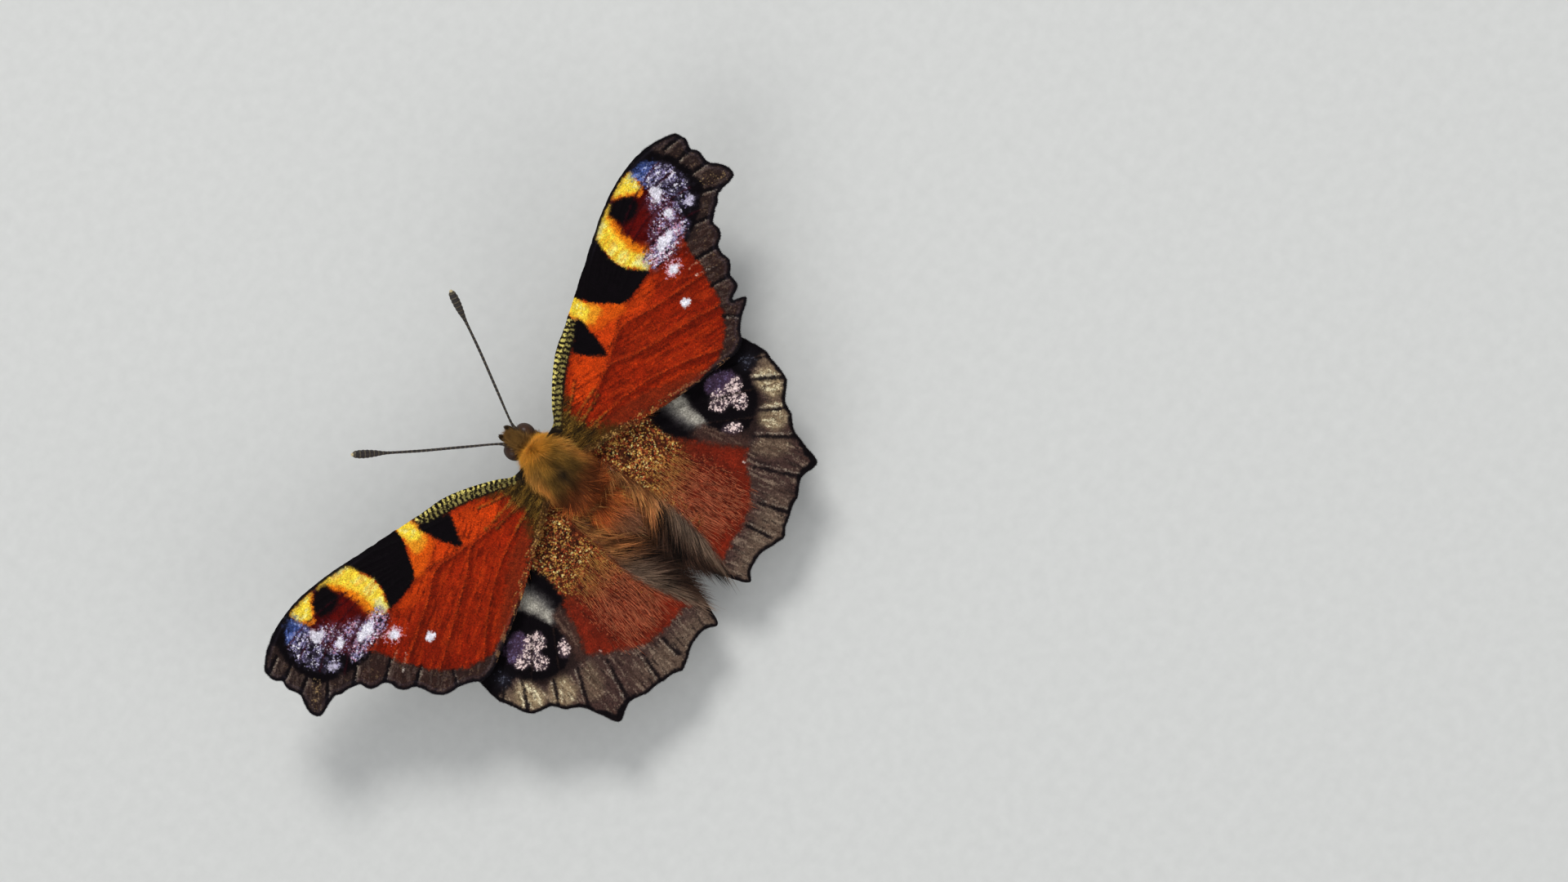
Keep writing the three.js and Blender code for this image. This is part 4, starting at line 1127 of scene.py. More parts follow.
    # Hair along the inner margin
    inner = 1 - ramp(line_distance(c.places, crest["inner margin"][::8]), 0.3, 1.1)
    c.streaks(rgb(150, 108, 70), inner, 0.42, (1, 0.5), 0.8, 0.08, 0.7, 14)
    strewn = inner * ramp(y, 1.5, 3) * (1 - ramp(x, 9, 15))
    c.specks(rgb(40, 22, 14), strewn, 0.4, 0.1, 0.8, 18)
    c.specks(rgb(206, 158, 84), strewn, 0.34, 0.08, 0.85, 19)
    return c.finished()


def inner_edge(y):
    """How far from the body a hindwing's haired inner field reaches."""
    return np.interp(y, [3, 6, 10.5, 13, 16.7, 19], [2.7, 3, 3.5, 3.4, 2.6, 2.0])


def hindwing_colours(points, shape, gap, rng):
    """The upper side of a hindwing."""
    c = Canvas(points, np.array(bpy.context.scene.peacock_wings.hind_red[:]), rng)
    x, y = c.places.T
    crest = {v.name: line[:, :2] for v, line in zip(HINDWING_VEINS, shape.crests)}
    c.vary(0.14, 1.6)
    c.streaks(rgb(150, 52, 28), 1, 0.4, (0.16, 1), 0.7, 0.1, 0.34, 1)
    c.streaks(rgb(66, 18, 10), 1, 0.34, (0.2, 1), 0.6, 0.1, 0.4, 2)

    # The front, which the forewing covers, is plain grey brown
    c.patch([(2, -0.5), (8, -1.8), (13, -1.2), (17.6, 3), (18, 5), (14, 4.2), (9, 3), (4, 2.2)],
            rgb(104, 90, 78), 1.2, 0.2)

    # Gold scales strewn on dark brown near the body
    base = [(2, 2.2), (6, 2.4), (8.9, 3.4), (9, 5.6), (8.9, 7.6), (8, 9.2), (6.6, 10.2), (5.2, 12),
            (4.5, 14.6), (3.5, 14.6), (3.2, 10), (2.6, 5)]
    c.patch(base, rgb(66, 31, 16), 2.2, 0.5, 0.94)
    strewn = inside_share(c, base, 2.2) * (0.86 + 0.5 * c.noise.rough(c.places / 0.7))
    strewn = strewn * (1 - 0.12 * ramp(y, 7, 11))
    c.lay(rgb(150, 66, 30), strewn * ramp(y, 6, 10) * 0.45)
    c.specks(rgb(24, 13, 9), strewn, 0.46, 0.16, 0.9, 20)
    c.specks(rgb(180, 84, 46), strewn, 0.44, 0.09, 0.85, 4)
    c.specks(rgb(204, 154, 74), strewn, 0.4, 0.1, 0.92, 5)
    c.specks(rgb(255, 232, 150), strewn, 0.22, 0.1, 0.95, 6)

    # The eyespot's dark ring, its pale crescent, the brown strip behind it and its black middle
    c.patch([(8.4, 4.6), (12, 4), (17.4, 4.8), (19.9, 7), (19.7, 9.9), (18.4, 9.9), (17.3, 10),
             (16.6, 11.1), (15, 12.3), (13, 12.8), (11.9, 12.4), (10.8, 11.2), (9.9, 9.8), (9.2, 8.9),
             (8.5, 7.8), (8.3, 6.2)], BLACK, 0.5, 0.12)
    c.patch([(10.8, 11.4), (12, 11.6), (13.6, 12), (15.4, 11.6), (16.6, 10.2), (17.4, 9.6), (16.8, 11.4),
             (15.2, 12.9), (13, 13.6), (11.6, 13.4)], rgb(40, 28, 26), 0.5, 0.1)
    c.patch([(9.6, 5), (11.8, 5), (11.5, 6.6), (11.2, 7.8), (11.3, 9), (10.6, 9.4), (9.9, 8.4),
             (9.6, 7)], rgb(84, 80, 78), 1, 0.1, 0.9)
    pale = [(10.4, 5), (11.9, 5), (11.7, 6.4), (11.35, 7.6), (11.3, 9), (10.6, 8.8), (10.3, 7)]
    c.patch(pale, rgb(176, 170, 156), 1, 0.08, 0.9)
    c.streaks(rgb(104, 98, 92), inside_share(c, pale, 0.5), 0.34, (0.3, 1), 0.5, 0.09, 0.45, 22)
    c.stroke([(10, 6.6), (10.8, 6.9), (11.4, 6.8)], rgb(190, 184, 170), 0.06, 0.12, 0.02, 0.7)
    c.patch([(9.4, 8.6), (10.6, 8.9), (11.2, 9.8), (11.6, 11.4), (12.4, 12.8), (12, 13.6), (11, 12.4),
             (10, 10.8)], rgb(66, 44, 38), 0.6, 0.14, 0.9)
    strip = inside_share(c, [(9.8, 8.8), (11, 9.2), (11.8, 12), (11.6, 13), (10.4, 11)], 0.6)
    c.streaks(rgb(120, 96, 80), strip, 0.45, (0.4, 1), 0.8, 0.1, 0.6, 7)
    c.patch([(11.3, 9.6), (11.7, 7.8), (12.9, 6.7), (14.6, 6.4), (16, 7.4), (16.4, 9.2), (15.7, 11),
             (14.3, 12.1), (12.8, 12.2), (11.7, 11.2)], BLACK, 0.2, 0.06)
    dust = np.exp(-((np.hypot((x - 17.7) / 0.75, (y - 8.7) / 0.8)) ** 2))
    c.lay(rgb(46, 46, 56), dust * 0.6)
    c.specks(rgb(92, 94, 108), dust, 0.4, 0.11, 0.7, 8)

    # Its mauve patch, and pinkish white scales below it
    mauve = [(13.3, 7.3), (14.2, 6.9), (15.4, 7.1), (16.1, 7.9), (16, 8.8), (14.8, 8.8), (13.6, 8.5)]
    c.patch(mauve, rgb(76, 56, 78), 0.35, 0.14, 0.92)
    c.specks(rgb(128, 114, 156), inside_share(c, mauve, 0.5), 0.3, 0.1, 0.7, 9)
    pinkish = ([(12.3, 8.7), (13.2, 8), (14.1, 8.2), (14.5, 9.2), (13.7, 9.8), (12.6, 9.6)],
               [(14.3, 8.5), (15.4, 8.5), (16.2, 8.8), (15.8, 9.6), (14.7, 9.7)],
               [(13.8, 9.4), (15.1, 9.5), (15.2, 10.5), (14.5, 11.1), (13.8, 10.7)],
               [(11.4, 10.6), (12.3, 10.7), (13, 11.5), (12.7, 12), (11.8, 11.6)])
    for corners in pinkish:
        share = inside_share(c, corners, 0.4)
        c.lay(rgb(120, 96, 108), share * 0.55)
        c.specks(rgb(250, 222, 214), share, 0.56, 0.1, 0.92, 10)
        c.specks(BLACK, share, 0.28, 0.09, 0.9, 11)
    for name in ("Rs", "M1"):
        vein = crest[name][(crest[name][:, 0] > 12) & (crest[name][:, 0] < 16.4)][::4]
        c.stroke(vein, BLACK, 0.16, 0.16, 0.03, 0.75, curve=False)

    # The grey-brown border and its pale gold panels
    edge = [(16.7, 9.6), (18.2, 9.5), (20.4, 9.2), (20.6, 11), (19.6, 13.6), (17.4, 16.4), (16.2, 20),
            (13, 21), (9, 21.4), (4, 21.8), (0.6, 21.6), (1.2, 18.6), (3.4, 17.4), (5.6, 17.2), (7.6, 16.6),
            (9, 15.6), (10.2, 14.5), (11, 13.6), (12, 13.2), (13.6, 13), (15.2, 12.4), (16.4, 11)]
    c.patch(edge, rgb(66, 50, 46), 0.5, 0.16, 0.95)
    border = inside_share(c, edge, 0.6)
    back = ramp(y + 0.2 * x, 18.4, 20) * (1 - ramp(x, 8, 12))
    c.lay(rgb(108, 90, 74), border * back * 0.7)
    c.streaks(rgb(150, 130, 110), border, 0.42, (0.22, 1), 0.9, 0.09, 0.6, 12)
    c.streaks(rgb(28, 20, 20), border, 0.36, (0.22, 1), 1.1, 0.1, 0.6, 13)
    panels = (([(16.4, 10.8), (17.2, 9.9), (18.4, 10.6), (18.6, 11.6), (17.4, 12.9), (16.4, 12.4)], 0.85),
              ([(14, 12.9), (15.4, 12.2), (16.6, 13.2), (16.4, 14.2), (15.2, 14.8), (14.2, 14.2)], 0.7),
              ([(18, 9.6), (19.4, 9.5), (19.4, 10.4), (18.8, 11), (18, 10.3)], 0.4),
              ([(11.6, 13.9), (13.2, 13.8), (14.6, 15.4), (13.8, 16.4), (12.2, 15.6)], 0.3))
    for corners, strength in panels:
        share = inside_share(c, corners, 0.9) * strength
        c.lay(rgb(182, 160, 120), share * 0.85)
        c.streaks(rgb(246, 232, 192), share, 0.55, (0.45, 1), 0.6, 0.09, 0.8, 14)
        c.specks(rgb(58, 42, 32), share, 0.28, 0.1, 0.7, 15)
    folds = (((18.6, 9.4), (19.4, 10)), ((16.6, 9.9), (18.5, 12.1)), ((14.9, 12.2), (17, 14.5)),
             ((12.8, 13.2), (15.4, 16.7)), ((10.7, 14.9), (12.6, 19)), ((8.4, 17.1), (9.4, 20)),
             ((6.2, 17.6), (6.5, 19.6)))
    # At each fold a dark bar, painted shadow, and a pale line beside it, painted highlight where the crest
    # catches the light
    for start, end in folds:
        start, end = np.array(start), np.array(end)
        c.stroke([start, end], rgb(18, 12, 14), (0.24, 0.4), 0.24, 0.06, 0.9)
        c.stroke([start + [0.28, -0.1], end + [0.28, -0.1]], rgb(206, 194, 172), 0.06, 0.12, 0.02, 0.6)
    c.spot((10.45, 13.9), (0.1, 0.16), rgb(226, 214, 206), 0.14, 0.06, 0.85)
    for name in ("Rs", "M1", "M2", "M3", "CuA1", "CuA2"):
        vein = crest[name][crest[name][:, 1] > 9][::5]
        c.stroke(vein, rgb(70, 48, 38), 0.08, 0.14, 0.03, 0.5, curve=False)

    # Darker ground under the fine hair on the red, and the haired inner field
    red = [(4.2, 8.6), (7.4, 8.8), (9, 10.4), (9.2, 14), (7.6, 16.4), (5, 17), (3.6, 14)]
    haired = inside_share(c, red, 1.6)
    c.lay(rgb(86, 28, 17), haired * 0.5)
    c.streaks(rgb(52, 16, 10), haired, 0.42, (0.14, 1), 0.7, 0.12, 0.6, 23)
    c.specks(rgb(206, 116, 74), haired, 0.3, 0.09, 0.5, 24)
    inner = 1 - ramp(x + 0.3 * c.noise.rough(c.places / 0.8) - inner_edge(y), -0.5, 0.4)
    c.lay(rgb(84, 62, 52), inner * ramp(y, 3, 8) * 0.9)
    c.lay(rgb(110, 56, 26), inner * (1 - ramp(y, 8.5, 10.5)) * 0.8)
    c.streaks(rgb(150, 124, 106), inner, 0.5, (-0.2, 1), 1.4, 0.09, 0.7, 18)
    c.streaks(rgb(30, 22, 20), inner, 0.42, (-0.2, 1), 1.6, 0.1, 0.75, 19)

    # The margin's black edge
    outer = ramp(points[:, 0] * 0.5 + points[:, 1] - 9, 2, 4)
    wide = 0.16 + 0.3 * np.exp(-(((points[:, 0] - 13.8) / 1.2) ** 2)) * ramp(points[:, 1], 16.5, 18)
    c.lay(BLACK, (1 - ramp(gap + 0.12 * c.noise.rough(points / 0.3), wide, wide + 0.25)) * outer * 0.92)
    return c.finished()


def under_colours(points, shape, gap, rng):
    """The under side of any wing: blackish brown, crossed by many fine wavy lines."""
    c = Canvas(points, rgb(44, 36, 32), rng)
    x, y = c.places.T
    reach = np.hypot(x, y - 1)
    c.vary(0.2, 2.4)
    wander = 1.6 * c.noise.rough(c.places / 1.8 + 3) + 0.9 * c.noise.rough(c.places / 0.5 + 8)
    fine = np.sin(reach * 2 * math.pi / 0.6 + wander * 3.4) + 0.7 * c.noise.rough(c.places / 0.3 + 14)
    patchy = 0.65 + 0.5 * c.noise.rough(c.places / 2.6 + 21)
    c.lay(rgb(20, 17, 18), ramp(fine, 0.1, 0.9) * 0.8 * patchy)
    c.lay(rgb(84, 70, 56), ramp(-fine, 0.5, 1.1) * 0.4 * patchy)
    share = np.clip(reach / reach.max(), 0, 1)
    middle = np.exp(-(((share - 0.58 - 0.03 * wander) / 0.035) ** 2))
    inner = np.exp(-(((share - 0.33 - 0.03 * wander) / 0.03) ** 2))
    c.lay(rgb(10, 9, 12), np.maximum(middle, inner) * 0.85)
    c.lay(rgb(92, 80, 68), ramp(share, 0.62, 0.66) * (1 - ramp(share, 0.78, 0.86)) * 0.35)
    c.specks(rgb(120, 104, 84), 1, 0.14, 0.12, 0.6, 4)
    c.lay(rgb(26, 22, 28), (1 - ramp(shape.vein_gap, 0.05, 0.16)) * 0.6)
    c.lay(rgb(14, 12, 16), (1 - ramp(gap, 0.2, 0.6)) * 0.85)
    return c.finished()


def wing_shape(kind, side):
    veins, surface, seed = {"forewing": (FOREWING_VEINS, forewing_surface, 40),
                            "hindwing": (HINDWING_VEINS, hindwing_surface, 50)}[kind]
    torn = {"CuA2": TORN_MARGIN} if kind == "forewing" and side < 0 else {}
    return WingShape(veins, surface, torn, seed + side)


def flat_places(mesh, side=1):
    """A mesh's vertices in the animal's frame, as if it were on the left."""
    points = np.zeros(len(mesh.vertices) * 3, np.float64)
    mesh.vertices.foreach_get("co", points)
    points = (points.reshape(-1, 3) - HINGE) / MM @ TURN
    return points * [side, 1, 1]


# The body


def solid_gap(points, body):
    """Roughly how far points lie outside a rounded body."""
    away = points - np.array(body["centre"])
    power = body["power"]
    size = (np.abs(away / np.array(body["half"])) ** power).sum(-1) ** (1 / power)
    return np.linalg.norm(away, axis=-1) * (1 - 1 / np.maximum(size, 1e-6))


def abdomen_gap(points, line):
    away = np.linalg.norm(points[..., None, :] - line[:, :3], axis=-1) - line[:, 3]
    return away.min(-1)


def union(a, b, blend):
    h = np.clip(0.5 + 0.5 * (b - a) / blend, 0, 1)
    return b + (a - b) * h - blend * h * (1 - h)


def segment_rings(y):
    """0 at the seams between the abdomen's segments, up to 1 at their middles."""
    return np.abs(np.sin((y - SEGMENT_START) / SEGMENT_LENGTH * math.pi))


def skin_gap(points, line):
    """How far points lie outside the skin of head, thorax and abdomen, which run into one another."""
    head = solid_gap(with_head(points, -1), HEAD) + 0.28
    chest = solid_gap(points, THORAX) + 0.45
    belly = abdomen_gap(points, line) + 0.2
    segments = segment_rings(points[..., 1])
    belly = belly + 0.07 * (1 - ramp(segments, 0, 0.45)) * ramp(points[..., 1], 5, 6)
    return union(union(head, chest, 0.5), belly, 0.6)


def skin_mesh():
    """One closed skin for head, thorax and abdomen, from rings across the body's length."""
    line = smooth_path([(0, y, z, r) for y, z, r in ABDOMEN_LINE], 10)
    rings, sides, halvings, farthest = 190, 120, 22, 4.5
    share = np.linspace(0, 1, rings)
    share = 0.55 * share + 0.45 * (0.5 - 0.5 * np.cos(math.pi * share))
    y = SKIN_START + (SKIN_END - SKIN_START) * share
    height = np.interp(y, [-4, -2.95, -2, -1.2, 0.5, 3.5, 5.2, 6, 8.5, 11, 13.2, 14.8, 15.4],
                       [-1.75, -1.75, -1.65, -1.5, -1.15, -1.3, -2.3, -2.75, -3.5, -4.2, -4.75, -5.1, -5.2])
    centre = np.column_stack([y * 0, y, height])
    centre[:, 0] = np.where(y < NECK[1], math.tan(HEAD_YAW) * (NECK[1] - y), 0)
    turn = np.linspace(0, 2 * math.pi, sides, endpoint=False) - math.pi / 2
    spoke = np.column_stack([np.cos(turn), turn * 0, np.sin(turn)])
    low, high = np.zeros((rings, sides)), np.full((rings, sides), farthest)
    for _ in range(halvings):
        reach = (low + high) / 2
        inside = skin_gap(centre[:, None] + spoke * reach[..., None], line) < 0
        low, high = np.where(inside, reach, low), np.where(inside, high, reach)
    low = np.maximum(low, 0.01)
    points = (centre[:, None] + spoke * low[..., None]).reshape(-1, 3)
    points = np.vstack([points, centre[:1] - [0, 0.01, 0], centre[-1:] + [0, 0.01, 0]])
    faces, places = [], []
    across = np.linspace(0, 0.72, sides + 1)
    down = share * 0.96 + 0.02
    for i in range(rings - 1):
        for k in range(sides):
            a, b = i * sides + k, i * sides + (k + 1) % sides
            faces.append((a, a + sides, b + sides, b))
            places += [(across[k], down[i]), (across[k], down[i + 1]), (across[k + 1], down[i + 1]),
                       (across[k + 1], down[i])]
    start, end = rings * sides, (rings - 1) * sides
    for k in range(sides):
        faces.append((start, k, (k + 1) % sides))
        places += [(across[k], 0.01), (across[k], down[0]), (across[k + 1], down[0])]
        faces.append((start + 1, end + (k + 1) % sides, end + k))
        places += [(across[k], 0.99), (across[k + 1], down[-1]), (across[k], down[-1])]
    mesh = bpy.data.meshes.new("body_skin")
    mesh.from_pydata(in_row(points).tolist(), [], faces)
    mesh.shade_smooth()
    mesh.uv_layers.new(name="OFBake").data.foreach_set("uv", np.array(places, np.float32).ravel())
    return mesh


def shoulder_share(x, y):
    """Share by which a place belongs to the long tufts over the wing roots."""
    return np.exp(-(((np.abs(x) - 2.3) / 0.8) ** 2) - ((y + 0.3) / 1.0) ** 2)


def bald_spot(x, y, z):
    """Share at which bare horn shows through the fur on top of the thorax."""
    return np.exp(-(((x - 0.1) / 0.4) ** 2) - ((y - 1.5) / 0.55) ** 2) * ramp(z, 0, 0.6)


def body_colours(p):
    """Colours of skin and coat: gold in front, rust at the sides, olive on top, dark behind and below."""
    noise = Noise(5)
    x, y, z = p.T
    flat = np.column_stack([x + z * 0.7, y + z * 0.4])
    chosen = bpy.context.scene.peacock_body
    colour = np.tile(np.array(chosen.crown[:]), (len(p), 1))

    def lay(tone, share):
        colour[:] = toned(colour, tone, share)

    front = 1 - ramp(y + 0.5 * noise.rough(flat / 1.2) + 0.3 * np.abs(x), -1.2, 0.7)
    flank = ramp(np.abs(x) + 0.3 * noise.rough(flat / 0.9 + 3), 1.2, 2.2) * (1 - ramp(y, 3.6, 5.5))
    lay(np.array(chosen.collar[:]), front * 0.95)
    lay(rgb(244, 158, 76), flank * 0.85)
    lay(rgb(122, 62, 30), ramp(y, 1.6, 3.4))
    lay(rgb(190, 104, 54), ramp(noise.rough(flat / 0.6 + 5), 0.0, 0.5) * ramp(y, 2.6, 3.8) * 0.6)
    lay(rgb(84, 60, 46), ramp(y, 6.0, 8.4) * 0.85)
    rings = segment_rings(y)
    lay(rgb(150, 120, 80), (1 - ramp(rings, 0.05, 0.35)) * ramp(y, 8, 9) * 0.5)
    lay(rgb(118, 86, 44), (1 - ramp(y, -2.5, -2.0)) * 0.9)
    below = 1 - ramp(z + 0.32 * np.maximum(y, 0), -3.0, -1.9)
    lay(rgb(66, 52, 42), below * 0.9)
    lay(rgb(190, 140, 80), ramp(noise.rough(flat / 0.4 + 9), 0.2, 0.7) * 0.3)
    lay(rgb(84, 60, 34), np.exp(-(((x - 0.2) / 1.2) ** 2) - ((y - 1.9) / 1.3) ** 2) * ramp(z, 0, 0.6) * 0.5)
    lay(rgb(255, 190, 92), shoulder_share(x, y) * 0.8)
    lay(rgb(56, 46, 42), bald_spot(x, y, z) * 0.8)
    clumps = noise.rough(flat / [0.3, 0.8] + 40)[:, None] * ramp(y, -1.2, 0.5)[:, None]
    return np.clip(colour * (1 + 0.16 * noise.rough(flat / 0.35)[:, None] + 0.42 * clumps), 0.01, 1)


def eye_mesh(name, side):
    """An eye of small round facets: vertices of the coarser sphere stand out as their middles."""
    points, faces = icosphere(5)
    coarse = len(icosphere(4)[0])
    inward = np.where(np.arange(len(points)) < coarse, 0, FACET_HEIGHT)[:, None]
    solid = points * (np.array(EYE["half"]) - inward) + EYE["centre"]
    solid, faces = on_side(side, solid, faces)
    return new_mesh(name, in_row(with_head(solid)), faces)


def icosphere(level):
    """Points and triangles. Each level keeps the points of the one before it first."""
    g = (1 + 5**0.5) / 2
    points = [(-1, g, 0), (1, g, 0), (-1, -g, 0), (1, -g, 0), (0, -1, g), (0, 1, g), (0, -1, -g), (0, 1, -g),
              (g, 0, -1), (g, 0, 1), (-g, 0, -1), (-g, 0, 1)]
    points = unit(np.array(points, float))
    faces = np.array([(0, 11, 5), (0, 5, 1), (0, 1, 7), (0, 7, 10), (0, 10, 11), (1, 5, 9), (5, 11, 4),
                      (11, 10, 2), (10, 7, 6), (7, 1, 8), (3, 9, 4), (3, 4, 2), (3, 2, 6), (3, 6, 8),
                      (3, 8, 9), (4, 9, 5), (2, 4, 11), (6, 2, 10), (8, 6, 7), (9, 8, 1)])
    for _ in range(level):
        edges = np.sort(np.vstack([faces[:, [0, 1]], faces[:, [1, 2]], faces[:, [2, 0]]]), axis=1)
        pairs, which = np.unique(edges, axis=0, return_inverse=True)
        middle = unit(points[pairs[:, 0]] + points[pairs[:, 1]])
        ab, bc, ca = which.ravel().reshape(3, -1) + len(points)
        a, b, c = faces.T
        quarters = ((a, ab, ca), (ab, b, bc), (ca, bc, c), (ab, bc, ca))
        faces = np.vstack([np.column_stack(t) for t in quarters])
        points = np.vstack([points, middle])
    return points, faces


def limb_mesh(name, parts, place, side=1, tip_from=2.0):
    """Round limbs as one mesh, with how far along each vertex lies and where the pale tip is."""
    points, faces, share = joined(parts)
    points, faces = on_side(side, points, faces)
    mesh = new_mesh(name, place(points), faces)
    set_values(mesh, "along", "FLOAT", share)
    set_values(mesh, "tip", "FLOAT", ramp(share, tip_from, tip_from + 0.01))
    bake_map(mesh, np.column_stack([share * 0.9 + 0.05, 0.5 + 0 * share]))
    return mesh


def coiled():
    """Stations of the rolled-up proboscis, from its root inwards."""
    stations = []
    for t in np.linspace(0, 1, 60):
        angle = math.pi / 2 + 2 * math.pi * COIL_TURNS * t
        reach, radius = (first + (last - first) * t for first, last in (COIL_RADII, COIL_TUBE))
        y, z = COIL_CENTRE
        stations.append((0, y - math.cos(angle) * reach, z + math.sin(angle) * reach, radius))
    return stations


def claws(foot):
    """Two small hooked claws at the end of a foot."""
    end, before = np.array(foot[-1][:3]), np.array(foot[-2][:3])
    way = unit(end - before)
    aside = unit(np.cross(way, (0, 0, 1)))
    made = []
    for s in (-1, 1):
        stations = [(*(end + way * along + aside * out * s + [0, 0, up]), radius)
                    for along, out, up, radius in CLAW]
        made.append(tube(stations, 6, 8))
    return made


def smooth_limb(stations, sides, steps, segments=()):
    """A limb whose joints show as narrow places at some shares of its length."""
    points, faces, share = tube(stations, sides, steps)
    line = evenly(smooth_path(stations), steps + 1)
    for joint in segments:
        for i in range(steps + 1):
            pinch = 1 - JOINT_PINCH * math.exp(-(((i / steps - joint) * steps / JOINT_WIDTH) ** 2))
            ring = slice(i * sides, (i + 1) * sides)
            points[ring] = line[i, :3] + (points[ring] - line[i, :3]) * pinch
    return points, faces, share


# Settings and steps of the add-on


class WingSettings(bpy.types.PropertyGroup):
    spacing: FloatProperty(name="Spacing",
                           description="Distance between points of a wing, about a scale's width",
                           default=0.09 * MM, unit="LENGTH", precision=6)
    thickness: FloatProperty(name="Thickness", description="Thickness of a wing away from its margin",
                             default=0.13 * MM, unit="LENGTH", precision=6)
    fringe: FloatProperty(name="Fringe", description="Length of the scales that fringe the margins",
                          default=0.36 * MM, unit="LENGTH", precision=6)
    hair: FloatProperty(name="Hair", description="Length of the long hair on the hindwings' inner fields",
                        default=2.6 * MM, unit="LENGTH", precision=6)
    down: FloatProperty(name="Down", description="Length of the fine hair on the hindwings' red",
                        default=0.8 * MM, unit="LENGTH", precision=6)
    red: FloatVectorProperty(name="Forewing red", description="Red of the forewings' field", size=3,
                             default=rgb(146, 35, 8), subtype="COLOR_GAMMA", min=0, max=1)
    hind_red: FloatVectorProperty(name="Hindwing red", description="Red of the hindwings' field", size=3,
                                  default=rgb(116, 33, 17), subtype="COLOR_GAMMA", min=0, max=1)
    yellow: FloatVectorProperty(name="Yellow", description="Yellow of the forewings' crescents", size=3,
                                default=rgb(255, 214, 62), subtype="COLOR_GAMMA", min=0, max=1)
    blue: FloatVectorProperty(name="Blue", description="Blue of the forewings' eyespots", size=3,
                              default=rgb(62, 84, 148), subtype="COLOR_GAMMA", min=0, max=1)
    border: FloatVectorProperty(name="Border", description="Brown of the forewings' borders", size=3,
                                default=rgb(46, 33, 30), subtype="COLOR_GAMMA", min=0, max=1)


class BodySettings(bpy.types.PropertyGroup):
    fur: FloatProperty(name="Fur", description="Length of the thorax's fur", default=1.4 * MM, unit="LENGTH",
                       precision=6)
    head_fur: FloatProperty(name="Head fur", description="Length of the head's fur", default=0.75 * MM,
                            unit="LENGTH", precision=6)
    belly_fur: FloatProperty(name="Abdomen fur", description="Length of the abdomen's hair scales",
                             default=0.6 * MM, unit="LENGTH", precision=6)
    collar: FloatVectorProperty(name="Collar", description="Gold of the fur in front", size=3,
                                default=rgb(255, 178, 64), subtype="COLOR_GAMMA", min=0, max=1)
    crown: FloatVectorProperty(name="Top", description="Olive of the fur on top of the thorax", size=3,
                               default=rgb(164, 122, 54), subtype="COLOR_GAMMA", min=0, max=1)
    seed: IntProperty(name="Seed", description="Seed for where tufts grow", default=7)


class StageSettings(bpy.types.PropertyGroup):
    aim: FloatVectorProperty(name="Aim",
                             description="What the camera looks at, in the animal's frame, in mm",
                             default=(-14.06, 15.55, 0.0), size=3)
    away: FloatProperty(name="Distance", description="How far the camera stands from the butterfly",
                        default=0.5, unit="LENGTH")
    turned: FloatProperty(name="Turn", description="Angle by which the picture is turned about the view",
                          default=math.radians(52.6), unit="ROTATION")
    frame_width: FloatProperty(name="Frame width", description="Width of what the picture shows",
                               default=0.1381, unit="LENGTH", precision=4)
    key: FloatProperty(name="Key light", description="Strength of the key light, in watts", default=2.75)
    fill: FloatProperty(name="Fill light", description="Strength of the fill light, in watts", default=1.15)
    sky: FloatProperty(name="Sky", description="Strength of the even light from all round", default=0.46)


SIDES = (("left", 1), ("right", -1))


class PEACOCK_OT_skin(bpy.types.Operator):
    """Make the skin of head, thorax and abdomen in one piece"""
    bl_idname = "peacock.skin"
    bl_label = "Skin"

    def execute(self, context):
        mesh = skin_mesh()
        set_colour(mesh, "pigment", body_colours(flat_places(mesh)) * 0.8)
        m = Finish("body_skin", 0.6, 0.3)
        grain = m.noise(0.1, 3)
        value = m.fitted(grain, 0.6, 1.15, 0.3, 0.7)
        m.set("Base Color", m.times(m.read("pigment", "Color"), value))
        m.bump(grain, 0.6, 0.03)
        piece(mesh, m.material, "fur", ("thorax", "abdomen", "head"))
        return {"FINISHED"}


class PEACOCK_OT_eyes(bpy.types.Operator):
    """Make the two faceted eyes"""
    bl_idname = "peacock.eyes"
    bl_label = "Eyes"

    def execute(self, context):
        m = Finish("eye", 0.38, 0.3)
        tone = m.mix(m.noise(0.5, 2), opaque(rgb(40, 24, 16)), opaque(rgb(86, 54, 34)))
        seam = m.fitted(m.cells(0.05)["Distance"], 1.0, 0.55, 0.35, 0.7)
        m.set("Base Color", m.times(tone, seam))
        for name, side in SIDES:
            piece(eye_mesh(f"fine_eye_{name}", side), m.material, "eye", (f"eye_{name}",))
        return {"FINISHED"}


class PEACOCK_OT_feelers(bpy.types.Operator):
    """Make the antennae, palps and rolled-up proboscis"""
    bl_idname = "peacock.feelers"
    bl_label = "Antennae and mouthparts"

    def execute(self, context):
        antenna = horn_material("antenna", rgb(40, 33, 30), rgb(206, 188, 144), 34, 0.12)
        palp = horn_material("palp", rgb(62, 46, 34), rgb(150, 120, 80), 3, 0.2)
        trunk = horn_material("proboscis", rgb(40, 28, 20), rgb(96, 70, 46), 60, 0.6)

        def place(points):
            return in_row(with_head(points))

        for name, side in SIDES:
            shaft = tube(ANTENNA, 12, 190, 0.06, 38)
            mesh = limb_mesh(f"fine_antenna_{name}", [shaft], place, side, 0.985)
            piece(mesh, antenna, "chitin", (f"antenna_{name}",))
            mesh = limb_mesh(f"fine_palp_{name}", [smooth_limb(PALP, 14, 40, (0.35, 0.78))], place, side)
            piece(mesh, palp, "fur", (f"palp_{name}",))
        coil = tube(coiled(), 10, 420, 0.07, 105)
        piece(limb_mesh("fine_proboscis", [coil], place), trunk, "chitin", ("proboscis",))
        return {"FINISHED"}


